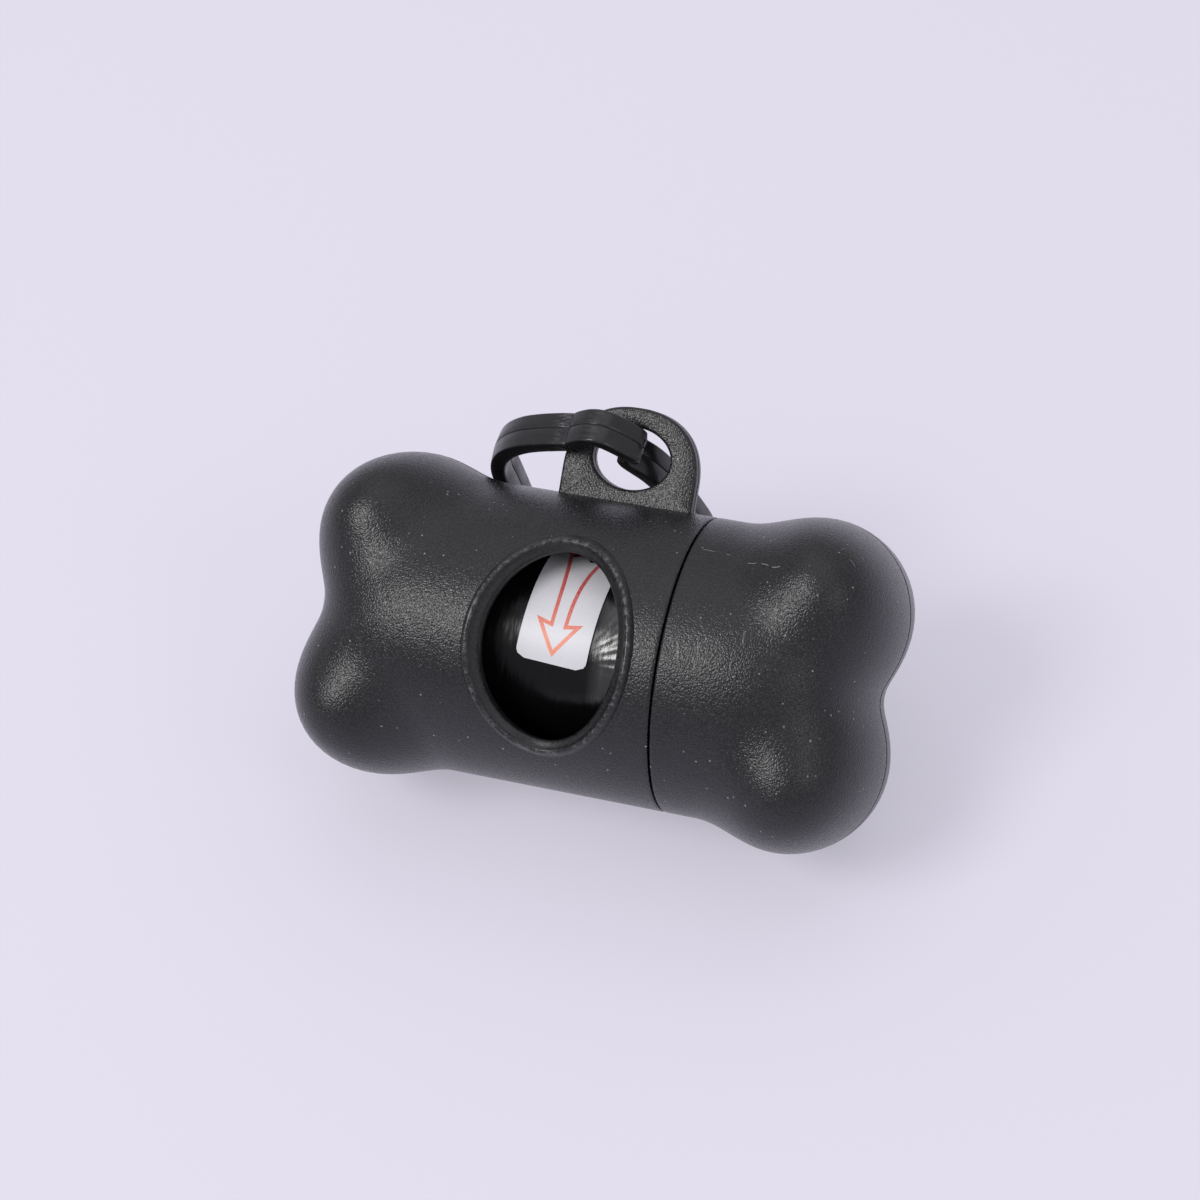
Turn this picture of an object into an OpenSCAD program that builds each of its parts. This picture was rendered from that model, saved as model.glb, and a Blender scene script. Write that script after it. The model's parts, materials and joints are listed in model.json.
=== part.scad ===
// Bone-shaped dispenser for rolls of dog-waste bags, with a spring clip.
// Millimetres. It stands as it does in use at rest: on its two lower lobes,
// leaning back against the far end of the clip. The bone's own frame has x along
// the roll, y towards the back and z towards the lug.

/* [Body] */
// radius of the round barrel
barrel_r = 19.5; // [17:0.1:24]
// wall of the mouldings
wall = 1.4; // [1:0.1:2]
// half width of one lobe along the roll
lobe_a = 12; // [10:0.1:14]
// half height of one lobe
lobe_c = 12.7; // [10:0.1:15]
// half depth of one lobe, front to back
lobe_depth = 18; // [12:0.1:19]
// lobe centre along the roll
lobe_x = 28.1; // [24:0.1:32]
// lobe centre above and below the roll axis
lobe_z = 9.1; // [7:0.1:12]
// how far the lobes' fronts and backs lean out along the roll
splay_x = 1.9; // [0:0.1:3]
// how far the lobes' fronts and backs lean apart
splay_z = 2.6; // [0:0.1:4]
// how much shorter the body's lobes reach than the cap's
body_short = 0.7; // [0:0.1:2]
// how softly the lobes run into the barrel
lobe_blend = 3; // [2:0.5:8]
// how softly the two lobes of one end meet
notch_blend = 2.6; // [1:0.1:6]
// where the barrel's end starts to round off
dome_x = 14; // [10:0.5:20]
// how far the barrel's rounded end reaches
dome_end = 36.5; // [33:0.1:39]
// squareness of the barrel's rounded end
dome_power = 3.5; // [2:0.1:6]

/* [Seam] */
// middle of the seam between body and cap
seam_x = 12.9; // [11:0.1:15]
// width of the seam
seam_gap = 0.3; // [0.2:0.05:0.6]

/* [Window] */
// window centre along the roll
window_x = -1.5; // [-4:0.1:2]
// half width of the clear window
window_a = 9.0; // [7:0.1:11]
// half height of the clear window
window_c = 12.0; // [9:0.1:14]
// width of the bezel's lip
rim_w = 2.25; // [1.5:0.05:3]
// how far the lip stands out of the barrel
rim_proud = 0.7; // [0.3:0.05:1.2]

/* [Lug] */
// width of the lug
lug_w = 18.3; // [14:0.1:20]
// middle of the lug along the roll
lug_x = 0.3; // [-2:0.1:2]
// how far the lug stands out of the barrel
lug_rise = 12.5; // [10:0.1:15]
// thickness of the lug
lug_t = 2.8; // [2:0.1:4]
// half width of the oval hole
hole_a = 5.3; // [4.5:0.05:6]
// half height of the oval hole
hole_c = 4.1; // [3.8:0.05:5]
// middle of the hole above the barrel
hole_rise = 5.8; // [5:0.1:6.5]

/* [Neck] */
// how far the neck reaches past the seam
neck_reach = 8.6; // [5:0.1:10]
// thickness of the neck
neck_t = 1.2; // [1:0.1:1.6]
// thickness of the liner ring
liner_t = 1.05; // [0.8:0.05:1.3]
// height of the grip bead on the neck
bead_h = 0.4; // [0.2:0.05:0.5]
// running clearance between bead and liner
bead_fit = 0.05; // [0.02:0.01:0.1]
// length of the liner ring
liner_len = 7.7; // [5:0.1:9]

/* [Roll] */
// play between a full roll and the neck
roll_play = 1.6; // [0.4:0.1:3]
// length of the roll, the folded width of a bag
roll_len = 57; // [50:0.5:60]
// middle of the roll along the axis
roll_x = -1.5; // [-3:0.1:1]
// outer radius of the tube
core_r = 7; // [5:0.1:9]
// thickness of the tube's paper
core_t = 1.1; // [0.6:0.1:2]
// width of the sticker
label_w = 9.5; // [7:0.1:12]
// height of the sticker along the film
label_h = 19.2; // [10:0.1:22]
// thickness of the sticker
label_t = 0.12; // [0.08:0.01:0.2]
// turn of the sticker against the roll
label_turn = 4; // [-10:1:10]
// how far round the roll the sticker's middle lies above the front
label_up = 29; // [10:1:40]
// middle of the sticker along the roll
label_x = -1.9; // [-4:0.1:1]

/* [Clip] */
// width of the clip's band
band_w = 4.6; // [4:0.1:5]
// thickness of the band
band_t = 2.4; // [2:0.1:3]
// edge rounding of the band
band_round = 0.7; // [0.3:0.1:1]
// height of the swing axis above the barrel
swing_rise = 6; // [5.5:0.1:6.5]
// how far the clip hangs back from square
clip_tilt = 25; // [20:1:30]
// half width of the clip, between band middles
clip_half = 13.2; // [11:0.05:15]
// middle of the clip along the roll
clip_mid = -6.75; // [-8:0.05:-5]
// gap at the gate's hinge line, along the clip's width
gate_gap = 0.45; // [0.3:0.05:0.7]

/* [Stance] */
// how far the bone leans back
lean = 50; // [45:1:55]

/* [Hidden] */
part_names = ["body_front_shell", "body_rear_shell", "window_rim", "neck_sleeve",
              "cap_front_shell", "cap_rear_shell", "cap_liner_ring", "bag_roll",
              "roll_core", "start_label", "clip_frame", "clip_gate"];

charcoal = [0.07, 0.07, 0.08];
satin = [0.05, 0.05, 0.055];
film = [0.03, 0.03, 0.035];
paper = [0.62, 0.50, 0.36];
red = [0.80, 0.16, 0.12];

around = 28;     // steps over half a turn of a shell
over_end = 16;   // steps over an end
core_x = 17;     // where the steps over an end fan out
body_stretch = 1 + body_short / lobe_x;
bore_r = barrel_r - wall;
liner_r = bore_r - liner_t;
neck_r = liner_r - bead_h - bead_fit;
neck_bore_r = neck_r - neck_t;
roll_r = neck_bore_r - roll_play;
lug_root = bore_r + wall / 2 - 0.1;
lug_top = barrel_r + lug_rise;
hole_z = barrel_r + hole_rise;
swing_z = barrel_r + swing_rise;
seat_r = bore_r * cos(90 / around) - 0.02;
body_end = seam_x - seam_gap / 2;
cap_start = seam_x + seam_gap / 2;
window_max = window_x + window_a + rim_w;
rim_reach = window_a + rim_w + 3;
end_skin = flat(skin_rows(cap_start, 0));
lift = max([for (p = end_skin) -p.y * sin(lean) - p.z * cos(lean)]);
front_reach = max([for (p = end_skin) -p.y * cos(lean) - p.z * sin(lean)]);
end_reach = max([for (p = end_skin) p.x]);
centre_x = (end_reach - end_reach / body_stretch) / 2;
clip_fall = lean + clip_tilt - 90;
clip_down = swing_z * cos(lean) - band_w / 2 * abs(sin(clip_fall)) + lift;
clip_reach = clip_down / cos(clip_fall) + 0.02;
back_reach = swing_z * sin(lean) - clip_reach * sin(clip_fall) + band_w / 2 * cos(clip_fall);
centre_y = (back_reach - front_reach) / 2;
clip_turn_v = clip_reach - clip_half - band_t / 2;

// ---- the bone's surface: distance-like functions, zero on the skin ----
function soft_min(a, b, k) = min(a, b) - pow(max(k - abs(a - b), 0), 2) / (4 * k);
function barrel_skin(p) =
    let (r = norm([p.y, p.z]) / barrel_r,
         s = max(p.x - dome_x, 0) / (dome_end - dome_x))
    (pow(pow(r, dome_power) + pow(s, dome_power), 1 / dome_power) - 1) * barrel_r;
function lobe_skin(p, side) =
    let (q = pow(p.y / lobe_depth, 2),
         x = lobe_x + splay_x * q,
         z = side * (lobe_z + splay_z * q))
    (norm([(p.x - x) / lobe_a, p.y / lobe_depth, (p.z - z) / lobe_c]) - 1) * (lobe_a + lobe_c) / 2;
function bone_skin(p) =
    soft_min(barrel_skin(p), soft_min(lobe_skin(p, 1), lobe_skin(p, -1), notch_blend), lobe_blend);

// distance along a ray from c in direction d to the skin moved in by inset
function reach(c, d, inset, lo = 2, hi = 60, left = 26) =
    left == 0 ? (lo + hi) / 2 :
    let (mid = (lo + hi) / 2)
    bone_skin(c + mid * d) + inset < 0
        ? reach(c, d, inset, mid, hi, left - 1)
        : reach(c, d, inset, lo, mid, left - 1);
function on_skin(c, d, inset) = c + reach(c, d, inset) * d;

// one row of skin points over the front half, across the roll at x
function row_across(x, inset) =
    [for (j = [0:around]) on_skin([x, 0, 0], [0, -sin(180 * j / around), cos(180 * j / around)], inset)];
// one row over the end, tipped by t from the axis
function row_over(t, inset) =
    [for (j = [0:around])
        let (a = 180 * j / around)
        on_skin([core_x, 0, 0], [cos(t), -sin(t) * sin(a), sin(t) * cos(a)], inset)];

function skin_rows(x_open, inset) = concat(
    [row_across(x_open, inset)],
    [for (x = [dome_x - 0.5, dome_x + 0.8, dome_x + 2]) if (x > x_open + 0.3) row_across(x, inset)],
    [for (i = [0:over_end - 1]) row_over(90 - 90 * i / over_end, inset)]);
function flat(rows) = [for (r = rows) for (p = r) p];

// front half of an open-ended shell whose rounded end points to +x, pressed
// shorter along the roll by the factor k
module half_shell(x_open, k = 1) {
    outer = skin_rows(x_open * k, 0);
    inner = skin_rows(x_open * k, wall);
    n = len(outer);
    w = around + 1;
    tip_out = n * w;
    in_0 = tip_out + 1;
    tip_in = in_0 + n * w;
    long = concat(flat(outer), [on_skin([core_x, 0, 0], [1, 0, 0], 0)],
                  flat(inner), [on_skin([core_x, 0, 0], [1, 0, 0], wall)]);
    points = [for (p = long) [p.x / k, p.y, p.z]];
    skin_faces = [
        for (i = [0:n - 2]) for (j = [0:around - 1])
            for (f = [[i * w + j, (i + 1) * w + j, (i + 1) * w + j + 1],
                      [i * w + j, (i + 1) * w + j + 1, i * w + j + 1]]) f];
    tip_faces = [for (j = [0:around - 1]) [(n - 1) * w + j, tip_out, (n - 1) * w + j + 1]];
    outside = concat(skin_faces, tip_faces);
    inside = [for (f = outside) [f[2] + in_0, f[1] + in_0, f[0] + in_0]];
    mouth = [for (j = [0:around - 1])
        for (f = [[j + 1, j + 1 + in_0, j + in_0], [j + 1, j + in_0, j]]) f];
    side = function (j) concat([for (i = [0:n - 1]) i * w + j], [tip_out]);
    top = side(0);
    low = side(around);
    top_faces = [for (i = [0:n - 1])
        for (f = [[top[i], top[i] + in_0, top[i + 1] + in_0], [top[i], top[i + 1] + in_0, top[i + 1]]]) f];
    low_faces = [for (i = [0:n - 1])
        for (f = [[low[i], low[i + 1] + in_0, low[i] + in_0], [low[i], low[i + 1], low[i + 1] + in_0]]) f];
    polyhedron(points = points, faces = concat(outside, inside, mouth, top_faces, low_faces), convexity = 8);
}

// ---- planar sweep for the clip's band ----
// smooth curve through key points
function curve(k, i, t) =
    let (a = k[max(i - 1, 0)], b = k[i], c = k[i + 1], d = k[min(i + 2, len(k) - 1)])
    0.5 * (2 * b + (c - a) * t + (2 * a - 5 * b + 4 * c - d) * t * t + (3 * b - a - 3 * c + d) * t * t * t);
function smooth(k, steps) = concat(
    [for (i = [0:len(k) - 2]) for (s = [0:steps - 1]) curve(k, i, s / steps)], [k[len(k) - 1]]);
// rounded rectangle, t by w, as points going round once
function band_section(t, w) =
    let (r = min(band_round, t / 2 - 0.15))
    [for (q = [[1, 1, 0], [-1, 1, 90], [-1, -1, 180], [1, -1, 270]]) for (a = [0, 45, 90])
        [q[0] * (t / 2 - r) + r * cos(q[2] + a), q[1] * (w / 2 - r) + r * sin(q[2] + a)]];

// sweep along points [u, v, thickness]; the band's width runs along z
module sweep_band(path, w) {
    n = len(path);
    m = len(band_section(2, 4));
    function heading(i) =
        let (d = path[min(i + 1, n - 1)] - path[max(i - 1, 0)]) [d.x, d.y] / norm([d.x, d.y]);
    points = [for (i = [0:n - 1])
        let (h = heading(i))
        for (s = band_section(path[i].z, w)) [path[i].x - h.y * s.x, path[i].y + h.x * s.x, s.y]];
    sides = [for (i = [0:n - 2]) for (j = [0:m - 1])
        let (k = (j + 1) % m)
        for (f = [[i * m + j, (i + 1) * m + j, (i + 1) * m + k], [i * m + j, (i + 1) * m + k, i * m + k]]) f];
    ends = concat([for (j = [1:m - 2]) [0, j, j + 1]],
                  [for (j = [1:m - 2]) [(n - 1) * m, (n - 1) * m + j + 1, (n - 1) * m + j]]);
    polyhedron(points = points, faces = concat(sides, ends), convexity = 6);
}

// ---- placing ----
// bone's own frame to the standing frame
module stand() {
    translate([-centre_x, -centre_y, lift]) rotate([-lean, 0, 0]) children();
}
// clip's plan, x along the roll and y away from the front, to the bone's frame
module clip_plane() {
    translate([lug_x, 0, swing_z]) rotate([-clip_tilt, 0, 0]) children();
}
// turned profile [radius, x] about the roll's axis
module turned(profile) {
    rotate([0, 90, 0]) rotate_extrude($fn = 120) polygon(profile);
}
module tube(r_out, r_in, x_0, x_1) {
    turned([[r_in, x_0], [r_out, x_0], [r_out, x_1], [r_in, x_1]]);
}
// oval prism towards the front, half width a and half height c
module window_prism(a, c) {
    translate([window_x, 0, 0]) rotate([90, 0, 0]) linear_extrude(2 * barrel_r) scale([a, c]) circle(r = 1, $fn = 120);
}

// ---- lug ----
lug_square = 2.3;
function lug_outline() =
    let (a = lug_w / 2, c = lug_top - (lug_top - a))
    concat([[-a, lug_root], [a, lug_root]],
        [for (i = [0:20])
            let (t = 180 * i / 20, s = sin(t), k = cos(t))
            [sign(k) * a * pow(abs(k), 2 / lug_square), lug_top - c + c * pow(s, 2 / lug_square)]]);
// half of the lug, from the middle plane towards the front
module lug_half() {
    rotate([90, 0, 0]) linear_extrude(lug_t / 2) difference() {
        translate([lug_x, 0]) polygon(lug_outline());
        translate([lug_x, hole_z]) scale([hole_a, hole_c]) circle(r = 1, $fn = 72);
    }
}

// ---- body ----
module body_front_shell() color(charcoal) stand() {
    union() {
        difference() {
            mirror([1, 0, 0]) half_shell(-body_end, body_stretch);
            window_prism(window_a + rim_w / 2, window_c + rim_w / 2);
        }
        lug_half();
    }
}
module body_rear_shell() color(charcoal) stand() {
    mirror([0, 1, 0]) union() {
        mirror([1, 0, 0]) half_shell(-body_end, body_stretch);
        lug_half();
    }
}
module window_rim() color(satin) stand() {
    union() {
        intersection() {
            tube(barrel_r + 0.03, bore_r - 0.4, window_x - rim_reach, window_x + rim_reach);
            difference() {
                window_prism(window_a + rim_w / 2 - 0.03, window_c + rim_w / 2 - 0.03);
                window_prism(window_a, window_c);
            }
        }
        intersection() {
            tube(barrel_r + rim_proud, barrel_r + 0.01, window_x - rim_reach, window_x + rim_reach);
            difference() {
                window_prism(window_a + rim_w, window_c + rim_w);
                window_prism(window_a, window_c);
            }
        }
    }
}
module neck_sleeve() color(charcoal) stand() {
    reach_x = seam_x + neck_reach;
    bead_x = reach_x - 2.6;
    turned([[neck_bore_r, window_max + 0.15], [seat_r, window_max + 0.15], [seat_r, body_end - 0.1],
            [neck_r, body_end - 0.1], [neck_r, bead_x - 0.9], [neck_r + bead_h, bead_x - 0.3],
            [neck_r + bead_h, bead_x + 0.3], [neck_r, bead_x + 0.9], [neck_r, reach_x - 0.5],
            [neck_r - 0.5, reach_x], [neck_bore_r, reach_x]]);
}

// ---- cap ----
module cap_front_shell() color(charcoal) stand() {
    half_shell(cap_start);
}
module cap_rear_shell() color(charcoal) stand() {
    mirror([0, 1, 0]) half_shell(cap_start);
}
module cap_liner_ring() color(charcoal) stand() {
    x_0 = cap_start + 0.2;
    turned([[liner_r + 0.5, x_0], [seat_r, x_0], [seat_r, x_0 + 2.4], [bore_r - 0.35, x_0 + 2.4],
            [bore_r - 0.35, x_0 + liner_len], [liner_r, x_0 + liner_len], [liner_r, x_0 + 0.5]]);
}

// ---- roll ----
module bag_roll() color(film) stand() {
    tube(roll_r, core_r, roll_x - roll_len / 2, roll_x + roll_len / 2);
}
module roll_core() color(paper) stand() {
    tube(core_r, core_r - core_t, roll_x - roll_len / 2 - 0.5, roll_x + roll_len / 2 + 0.5);
}
module start_label() color(red) stand() {
    intersection() {
        tube(roll_r + label_t, roll_r, label_x - label_w, label_x + label_w);
        rotate([-label_up, 0, 0]) rotate([0, label_turn, 0])
            translate([label_x - label_w / 2, -roll_r - 2, -label_h / 2]) cube([label_w, 10, label_h]);
    }
}

// ---- clip ----
// key points [u, v, thickness] of the frame's band, from the gate's hinge line
// round the back to the nose
clip_left = clip_mid - clip_half;
clip_right = clip_mid + clip_half;
crease_u = -7.3;
frame_front = [[crease_u - gate_gap / 2, -5.05, 2.3], [-9.9, -4.15, band_t], [-12.6, -2.9, band_t],
               [-15.2, -1.3, 2.5], [-17.5, 0.8, 2.5], [-19.1, 3.8, band_t],
               [clip_left + 0.1, 7.6, band_t], [clip_left, 12, band_t], [clip_left, clip_turn_v, band_t]];
frame_back = [for (i = [1:17])
    [clip_mid - clip_half * cos(10 * i), clip_turn_v + clip_half * sin(10 * i), band_t]];
frame_bar = [[clip_right, clip_turn_v, band_t], [clip_right, 19, band_t], [5.7, 15.4, band_t],
             [4.7, 11.5, 2.3], [3.9, 7.5, 2.2], [2.8, 3.6, 2.2], [1.5, 1.1, 2.2], [0.1, -0.6, 2.1],
             [-1.0, -1.9, 2.0], [-1.45, -3.1, 1.9], [-1.5, -3.9, 1.6]];
module clip_frame() color(satin) stand() clip_plane() {
    sweep_band(concat(smooth(frame_front, 4), frame_back, smooth(frame_bar, 3)), band_w);
}
// key points of the gate, from its hinge line to the hooked tip
gate_keys = [[crease_u + gate_gap / 2, -5.25, 2.3], [-5.2, -6.5, 2.1], [-3.1, -7.45, 1.9], [-1.2, -7.7, 2.0],
             [0.35, -7.0, 2.2], [1.0, -5.8, 2.3], [1.1, -4.6, 1.9]];
module clip_gate() color(satin) stand() clip_plane() {
    sweep_band(smooth(gate_keys, 4), band_w);
}

body_front_shell();
body_rear_shell();
window_rim();
neck_sleeve();
cap_front_shell();
cap_rear_shell();
cap_liner_ring();
bag_roll();
roll_core();
start_label();
clip_frame();
clip_gate();
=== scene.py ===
"""Looks of the bone-shaped bag dispenser: meshes, finishes, camera and studio.

Shapes are worked out in millimetres in the bone's own frame (x along the roll,
y towards the back, z towards the lug) and then brought to the standing frame.
"""
import json
import logging
import math
from collections.abc import Iterable, Sequence
from dataclasses import dataclass, field
from enum import Enum

import bmesh
import bpy
import numpy as np
from mathutils import Matrix, Vector, noise


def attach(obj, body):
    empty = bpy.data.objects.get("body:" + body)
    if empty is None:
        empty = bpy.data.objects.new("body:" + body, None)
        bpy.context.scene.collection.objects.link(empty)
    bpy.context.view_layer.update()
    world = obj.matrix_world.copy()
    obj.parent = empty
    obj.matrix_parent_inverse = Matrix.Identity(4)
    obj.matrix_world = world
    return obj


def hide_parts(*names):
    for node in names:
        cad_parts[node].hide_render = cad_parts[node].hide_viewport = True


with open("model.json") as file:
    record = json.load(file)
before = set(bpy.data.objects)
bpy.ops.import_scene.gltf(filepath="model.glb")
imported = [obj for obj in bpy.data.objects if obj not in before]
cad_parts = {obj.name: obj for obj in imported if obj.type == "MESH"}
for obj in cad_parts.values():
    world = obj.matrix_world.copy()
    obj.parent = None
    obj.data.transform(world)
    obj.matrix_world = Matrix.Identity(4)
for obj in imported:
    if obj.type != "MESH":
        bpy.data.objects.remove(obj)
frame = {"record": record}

LOG = logging.getLogger("dispenser")
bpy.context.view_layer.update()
MM = 0.001
FULL_TURN = 2.0 * math.pi

Socket = bpy.types.NodeSocket
Material = bpy.types.Material
Thing = bpy.types.Object
Triple = tuple[float, float, float]
Colour = tuple[float, float, float, float]


class Body(Enum):
    """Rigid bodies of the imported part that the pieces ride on."""

    SHELL = "dispenser_body"
    CAP = "end_cap"
    ROLL = "roll"
    CLIP = "clip"
    GATE = "gate"


class Join(Enum):
    """Ways of working one closed mesh with another."""

    ADD = "UNION"
    CUT = "DIFFERENCE"


class Side(Enum):
    """Front or rear half of a moulding, as the sign of its depth."""

    FRONT = 1.0
    REAR = -1.0


# --------------------------------------------------------------------------
# frames and basic geometry
# --------------------------------------------------------------------------


def cos_sin(degrees: float) -> tuple[float, float]:
    """Cosine and sine of an angle in degrees."""
    return math.cos(math.radians(degrees)), math.sin(math.radians(degrees))


def rows(*columns: object) -> np.ndarray:
    """Points from columns of coordinates; a single number fills its column."""
    return np.stack(np.broadcast_arrays(*columns), axis=-1)


def around(x: object, radius: object, at: object) -> np.ndarray:
    """Points round the roll's axis.

    Args:
        x: Place along the roll.
        radius: Distance from the axis.
        at: Angle in radians, zero at the front and rising towards the lug.
    Returns:
        Bone-frame points as rows.
    """
    return rows(x, -radius * np.cos(at), radius * np.sin(at))


def evenly_round(count: int) -> np.ndarray:
    """Angles of count even steps round a full turn."""
    return np.linspace(0.0, FULL_TURN, count, endpoint=False)


@dataclass(frozen=True)
class Stance:
    """How the bone stands: leaning back, its roll axis at a known height."""

    lean_deg: float = 50.0
    axis_pos_m: Triple = (0.0, 0.0, 0.0)

    def turn(self) -> np.ndarray:
        """Rotation from the bone's frame to the standing frame."""
        c, s = cos_sin(self.lean_deg)
        return np.array([[1.0, 0.0, 0.0], [0.0, c, s], [0.0, -s, c]])

    def place(self, points_mm: np.ndarray) -> np.ndarray:
        """Bring bone-frame millimetres to standing-frame metres.

        Args:
            points_mm: Points as rows.
        Returns:
            The same points as rows, in metres.
        """
        return np.asarray(points_mm) @ self.turn().T * MM + np.array(self.axis_pos_m)


@dataclass(frozen=True)
class ClipPlane:
    """The plane of the clip's loop, u along the roll and v away from the front."""

    tilt_deg: float = 25.0
    swing_z: float = 25.5
    middle_x: float = 0.3

    def place(self, uvn: np.ndarray) -> np.ndarray:
        """Turn clip coordinates into bone-frame millimetres.

        Args:
            uvn: Rows of u, v and height above the plane.
        Returns:
            Rows of x, y, z.
        """
        c, s = cos_sin(self.tilt_deg)
        u, v, n = np.asarray(uvn, dtype=float).T
        return rows(u + self.middle_x, v * c + n * s, self.swing_z - v * s + n * c)


@dataclass(frozen=True)
class BoneSkin:
    """The bone's outer surface: a rounded barrel softly joined to four lobes."""

    barrel_r: float = 19.5
    lobe_a: float = 12.0
    lobe_c: float = 12.7
    lobe_depth: float = 18.0
    lobe_x: float = 28.1
    lobe_z: float = 9.1
    splay_x: float = 1.9
    splay_z: float = 2.6
    lobe_blend: float = 3.0
    notch_blend: float = 2.6
    dome_x: float = 14.0
    dome_end: float = 36.5
    dome_power: float = 3.5
    core_x: float = 17.0
    nearest: float = 2.0
    farthest: float = 60.0
    halvings: int = 34

    @staticmethod
    def soft_min(a: np.ndarray, b: np.ndarray, k: float) -> np.ndarray:
        """Smaller of two distances, rounded over a width k."""
        return np.minimum(a, b) - np.maximum(k - np.abs(a - b), 0.0) ** 2 / (4.0 * k)

    def gap(self, p: np.ndarray) -> np.ndarray:
        """Distance-like value, zero on the skin and negative inside.

        Args:
            p: Points with x positive towards the end, last axis x, y, z.
        Returns:
            One value for each point.
        """
        x, y, z = p[..., 0], p[..., 1], p[..., 2]
        n = self.dome_power
        r = np.hypot(y, z) / self.barrel_r
        s = np.maximum(x - self.dome_x, 0.0) / (self.dome_end - self.dome_x)
        barrel = ((r**n + s**n) ** (1.0 / n) - 1.0) * self.barrel_r
        q = (y / self.lobe_depth) ** 2
        dx = (x - self.lobe_x - self.splay_x * q) / self.lobe_a
        mean = (self.lobe_a + self.lobe_c) / 2.0
        lobes = []
        for sign in (1.0, -1.0):
            dz = (z - sign * (self.lobe_z + self.splay_z * q)) / self.lobe_c
            lobes.append((np.sqrt(dx**2 + q + dz**2) - 1.0) * mean)
        pair = self.soft_min(lobes[0], lobes[1], self.notch_blend)
        return self.soft_min(barrel, pair, self.lobe_blend)

    def on_skin(self, start: np.ndarray, way: np.ndarray, inset: np.ndarray) -> np.ndarray:
        """Points where rays leave the body, moved in by an inset.

        Args:
            start: Ray starts.
            way: Unit directions.
            inset: How far under the skin each point lies.
        Returns:
            The points, shaped as start.
        """
        low = np.full(start.shape[:-1], self.nearest)
        high = np.full(start.shape[:-1], self.farthest)
        for _ in range(self.halvings):
            mid = (low + high) / 2.0
            inside = self.gap(start + mid[..., None] * way) + inset < 0.0
            low = np.where(inside, mid, low)
            high = np.where(inside, high, mid)
        return start + ((low + high) / 2.0)[..., None] * way


@dataclass(frozen=True)
class PhotoView:
    """The photograph's camera, fitted in the bone's own frame."""

    focal_px: float = 2698.0
    frame_px: float = 1200.0
    eye: Triple = (96.17, -341.97, 17.28)
    right: Triple = (0.94732, 0.27469, 0.16468)
    up: Triple = (-0.16684, -0.01566, 0.98586)
    inside_y: float = 6.0

    def onto(self, skin: BoneSkin, places_px: tuple[tuple[float, float], ...]) -> np.ndarray:
        """Bring places of the photograph onto the bone's skin.

        Args:
            skin: The bone's outer surface.
            places_px: Rows of pixels from the frame's left and top edges.
        Returns:
            Bone-frame points as rows.
        """
        across, down = (np.array(places_px) - self.frame_px / 2.0).T
        axes = np.array([self.right, self.up, np.cross(self.right, self.up)])
        back = rows(-across, down, self.focal_px) @ axes
        back /= np.linalg.norm(back, axis=1, keepdims=True)
        start = np.array(self.eye) + (self.inside_y - self.eye[1]) / back[:, 1:2] * back
        return skin.on_skin(start, back, np.zeros(len(back)))


@dataclass
class MeshMaker:
    """Collects points and faces and turns them into an object at the origin."""

    points: list[Triple] = field(default_factory=list)
    faces: list[tuple[int, ...]] = field(default_factory=list)
    weld_m: float = 1e-8

    def add_points(self, places: np.ndarray) -> int:
        """Append points.

        Args:
            places: Points, last axis x, y, z.
        Returns:
            Index of the first.
        """
        first = len(self.points)
        self.points.extend(map(tuple, np.asarray(places, dtype=float).reshape(-1, 3)))
        return first

    def add_band(self, a: Sequence[int], b: Sequence[int], closed: bool = False) -> None:
        """Quads between two lines of points.

        Args:
            a: Indices of the first line.
            b: Indices of the second line.
            closed: Whether the lines run in rings.
        """
        for k in range(len(a) if closed else len(a) - 1):
            after = (k + 1) % len(a)
            self.faces.append((a[k], a[after], b[after], b[k]))

    def add_grid(self, first: int, count: int, cols: int, close_cols: bool = False,
                 close_rows: bool = False) -> None:
        """Quads over a grid of points.

        Args:
            first: Index of the grid's first point.
            count: Number of rows.
            cols: Number of columns.
            close_cols: Whether the last column meets the first.
            close_rows: Whether the last row meets the first.
        """
        lines = [range(first + i * cols, first + (i + 1) * cols) for i in range(count)]
        for a, b in zip(lines, lines[1:] + lines[:1] if close_rows else lines[1:]):
            self.add_band(a, b, close_cols)

    def add_lid(self, ring: Iterable[int]) -> None:
        """One flat face over a closed ring of points."""
        self.faces.append(tuple(ring))

    def build(self, name: str, stance: Stance, smooth_deg: float = 35.0) -> Thing:
        """Make the object, its faces turned outwards.

        Args:
            name: Name of the piece.
            stance: Where the bone stands.
            smooth_deg: Edges sharper than this stay crisp.
        Returns:
            The new object, linked to the scene.
        """
        mesh = bpy.data.meshes.new(name)
        mesh.from_pydata(stance.place(np.array(self.points)).tolist(), [], self.faces)
        work = bmesh.new()
        work.from_mesh(mesh)
        bmesh.ops.remove_doubles(work, verts=work.verts, dist=self.weld_m)
        bmesh.ops.recalc_face_normals(work, faces=work.faces)
        work.to_mesh(mesh)
        work.free()
        obj = bpy.data.objects.new(name, mesh)
        bpy.context.scene.collection.objects.link(obj)
        shade(obj, smooth_deg)
        return obj


def shade(obj: Thing, smooth_deg: float) -> None:
    """Shade smooth and keep edges sharper than an angle crisp.

    Args:
        obj: Mesh object.
        smooth_deg: Limit angle in degrees.
    """
    mesh = obj.data
    work = bmesh.new()
    work.from_mesh(mesh)
    limit = math.radians(smooth_deg)
    for face in work.faces:
        face.smooth = True
    for edge in work.edges:
        edge.smooth = len(edge.link_faces) != 2 or edge.calc_face_angle(0.0) < limit
    work.to_mesh(mesh)
    work.free()
    mesh.update()


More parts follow.
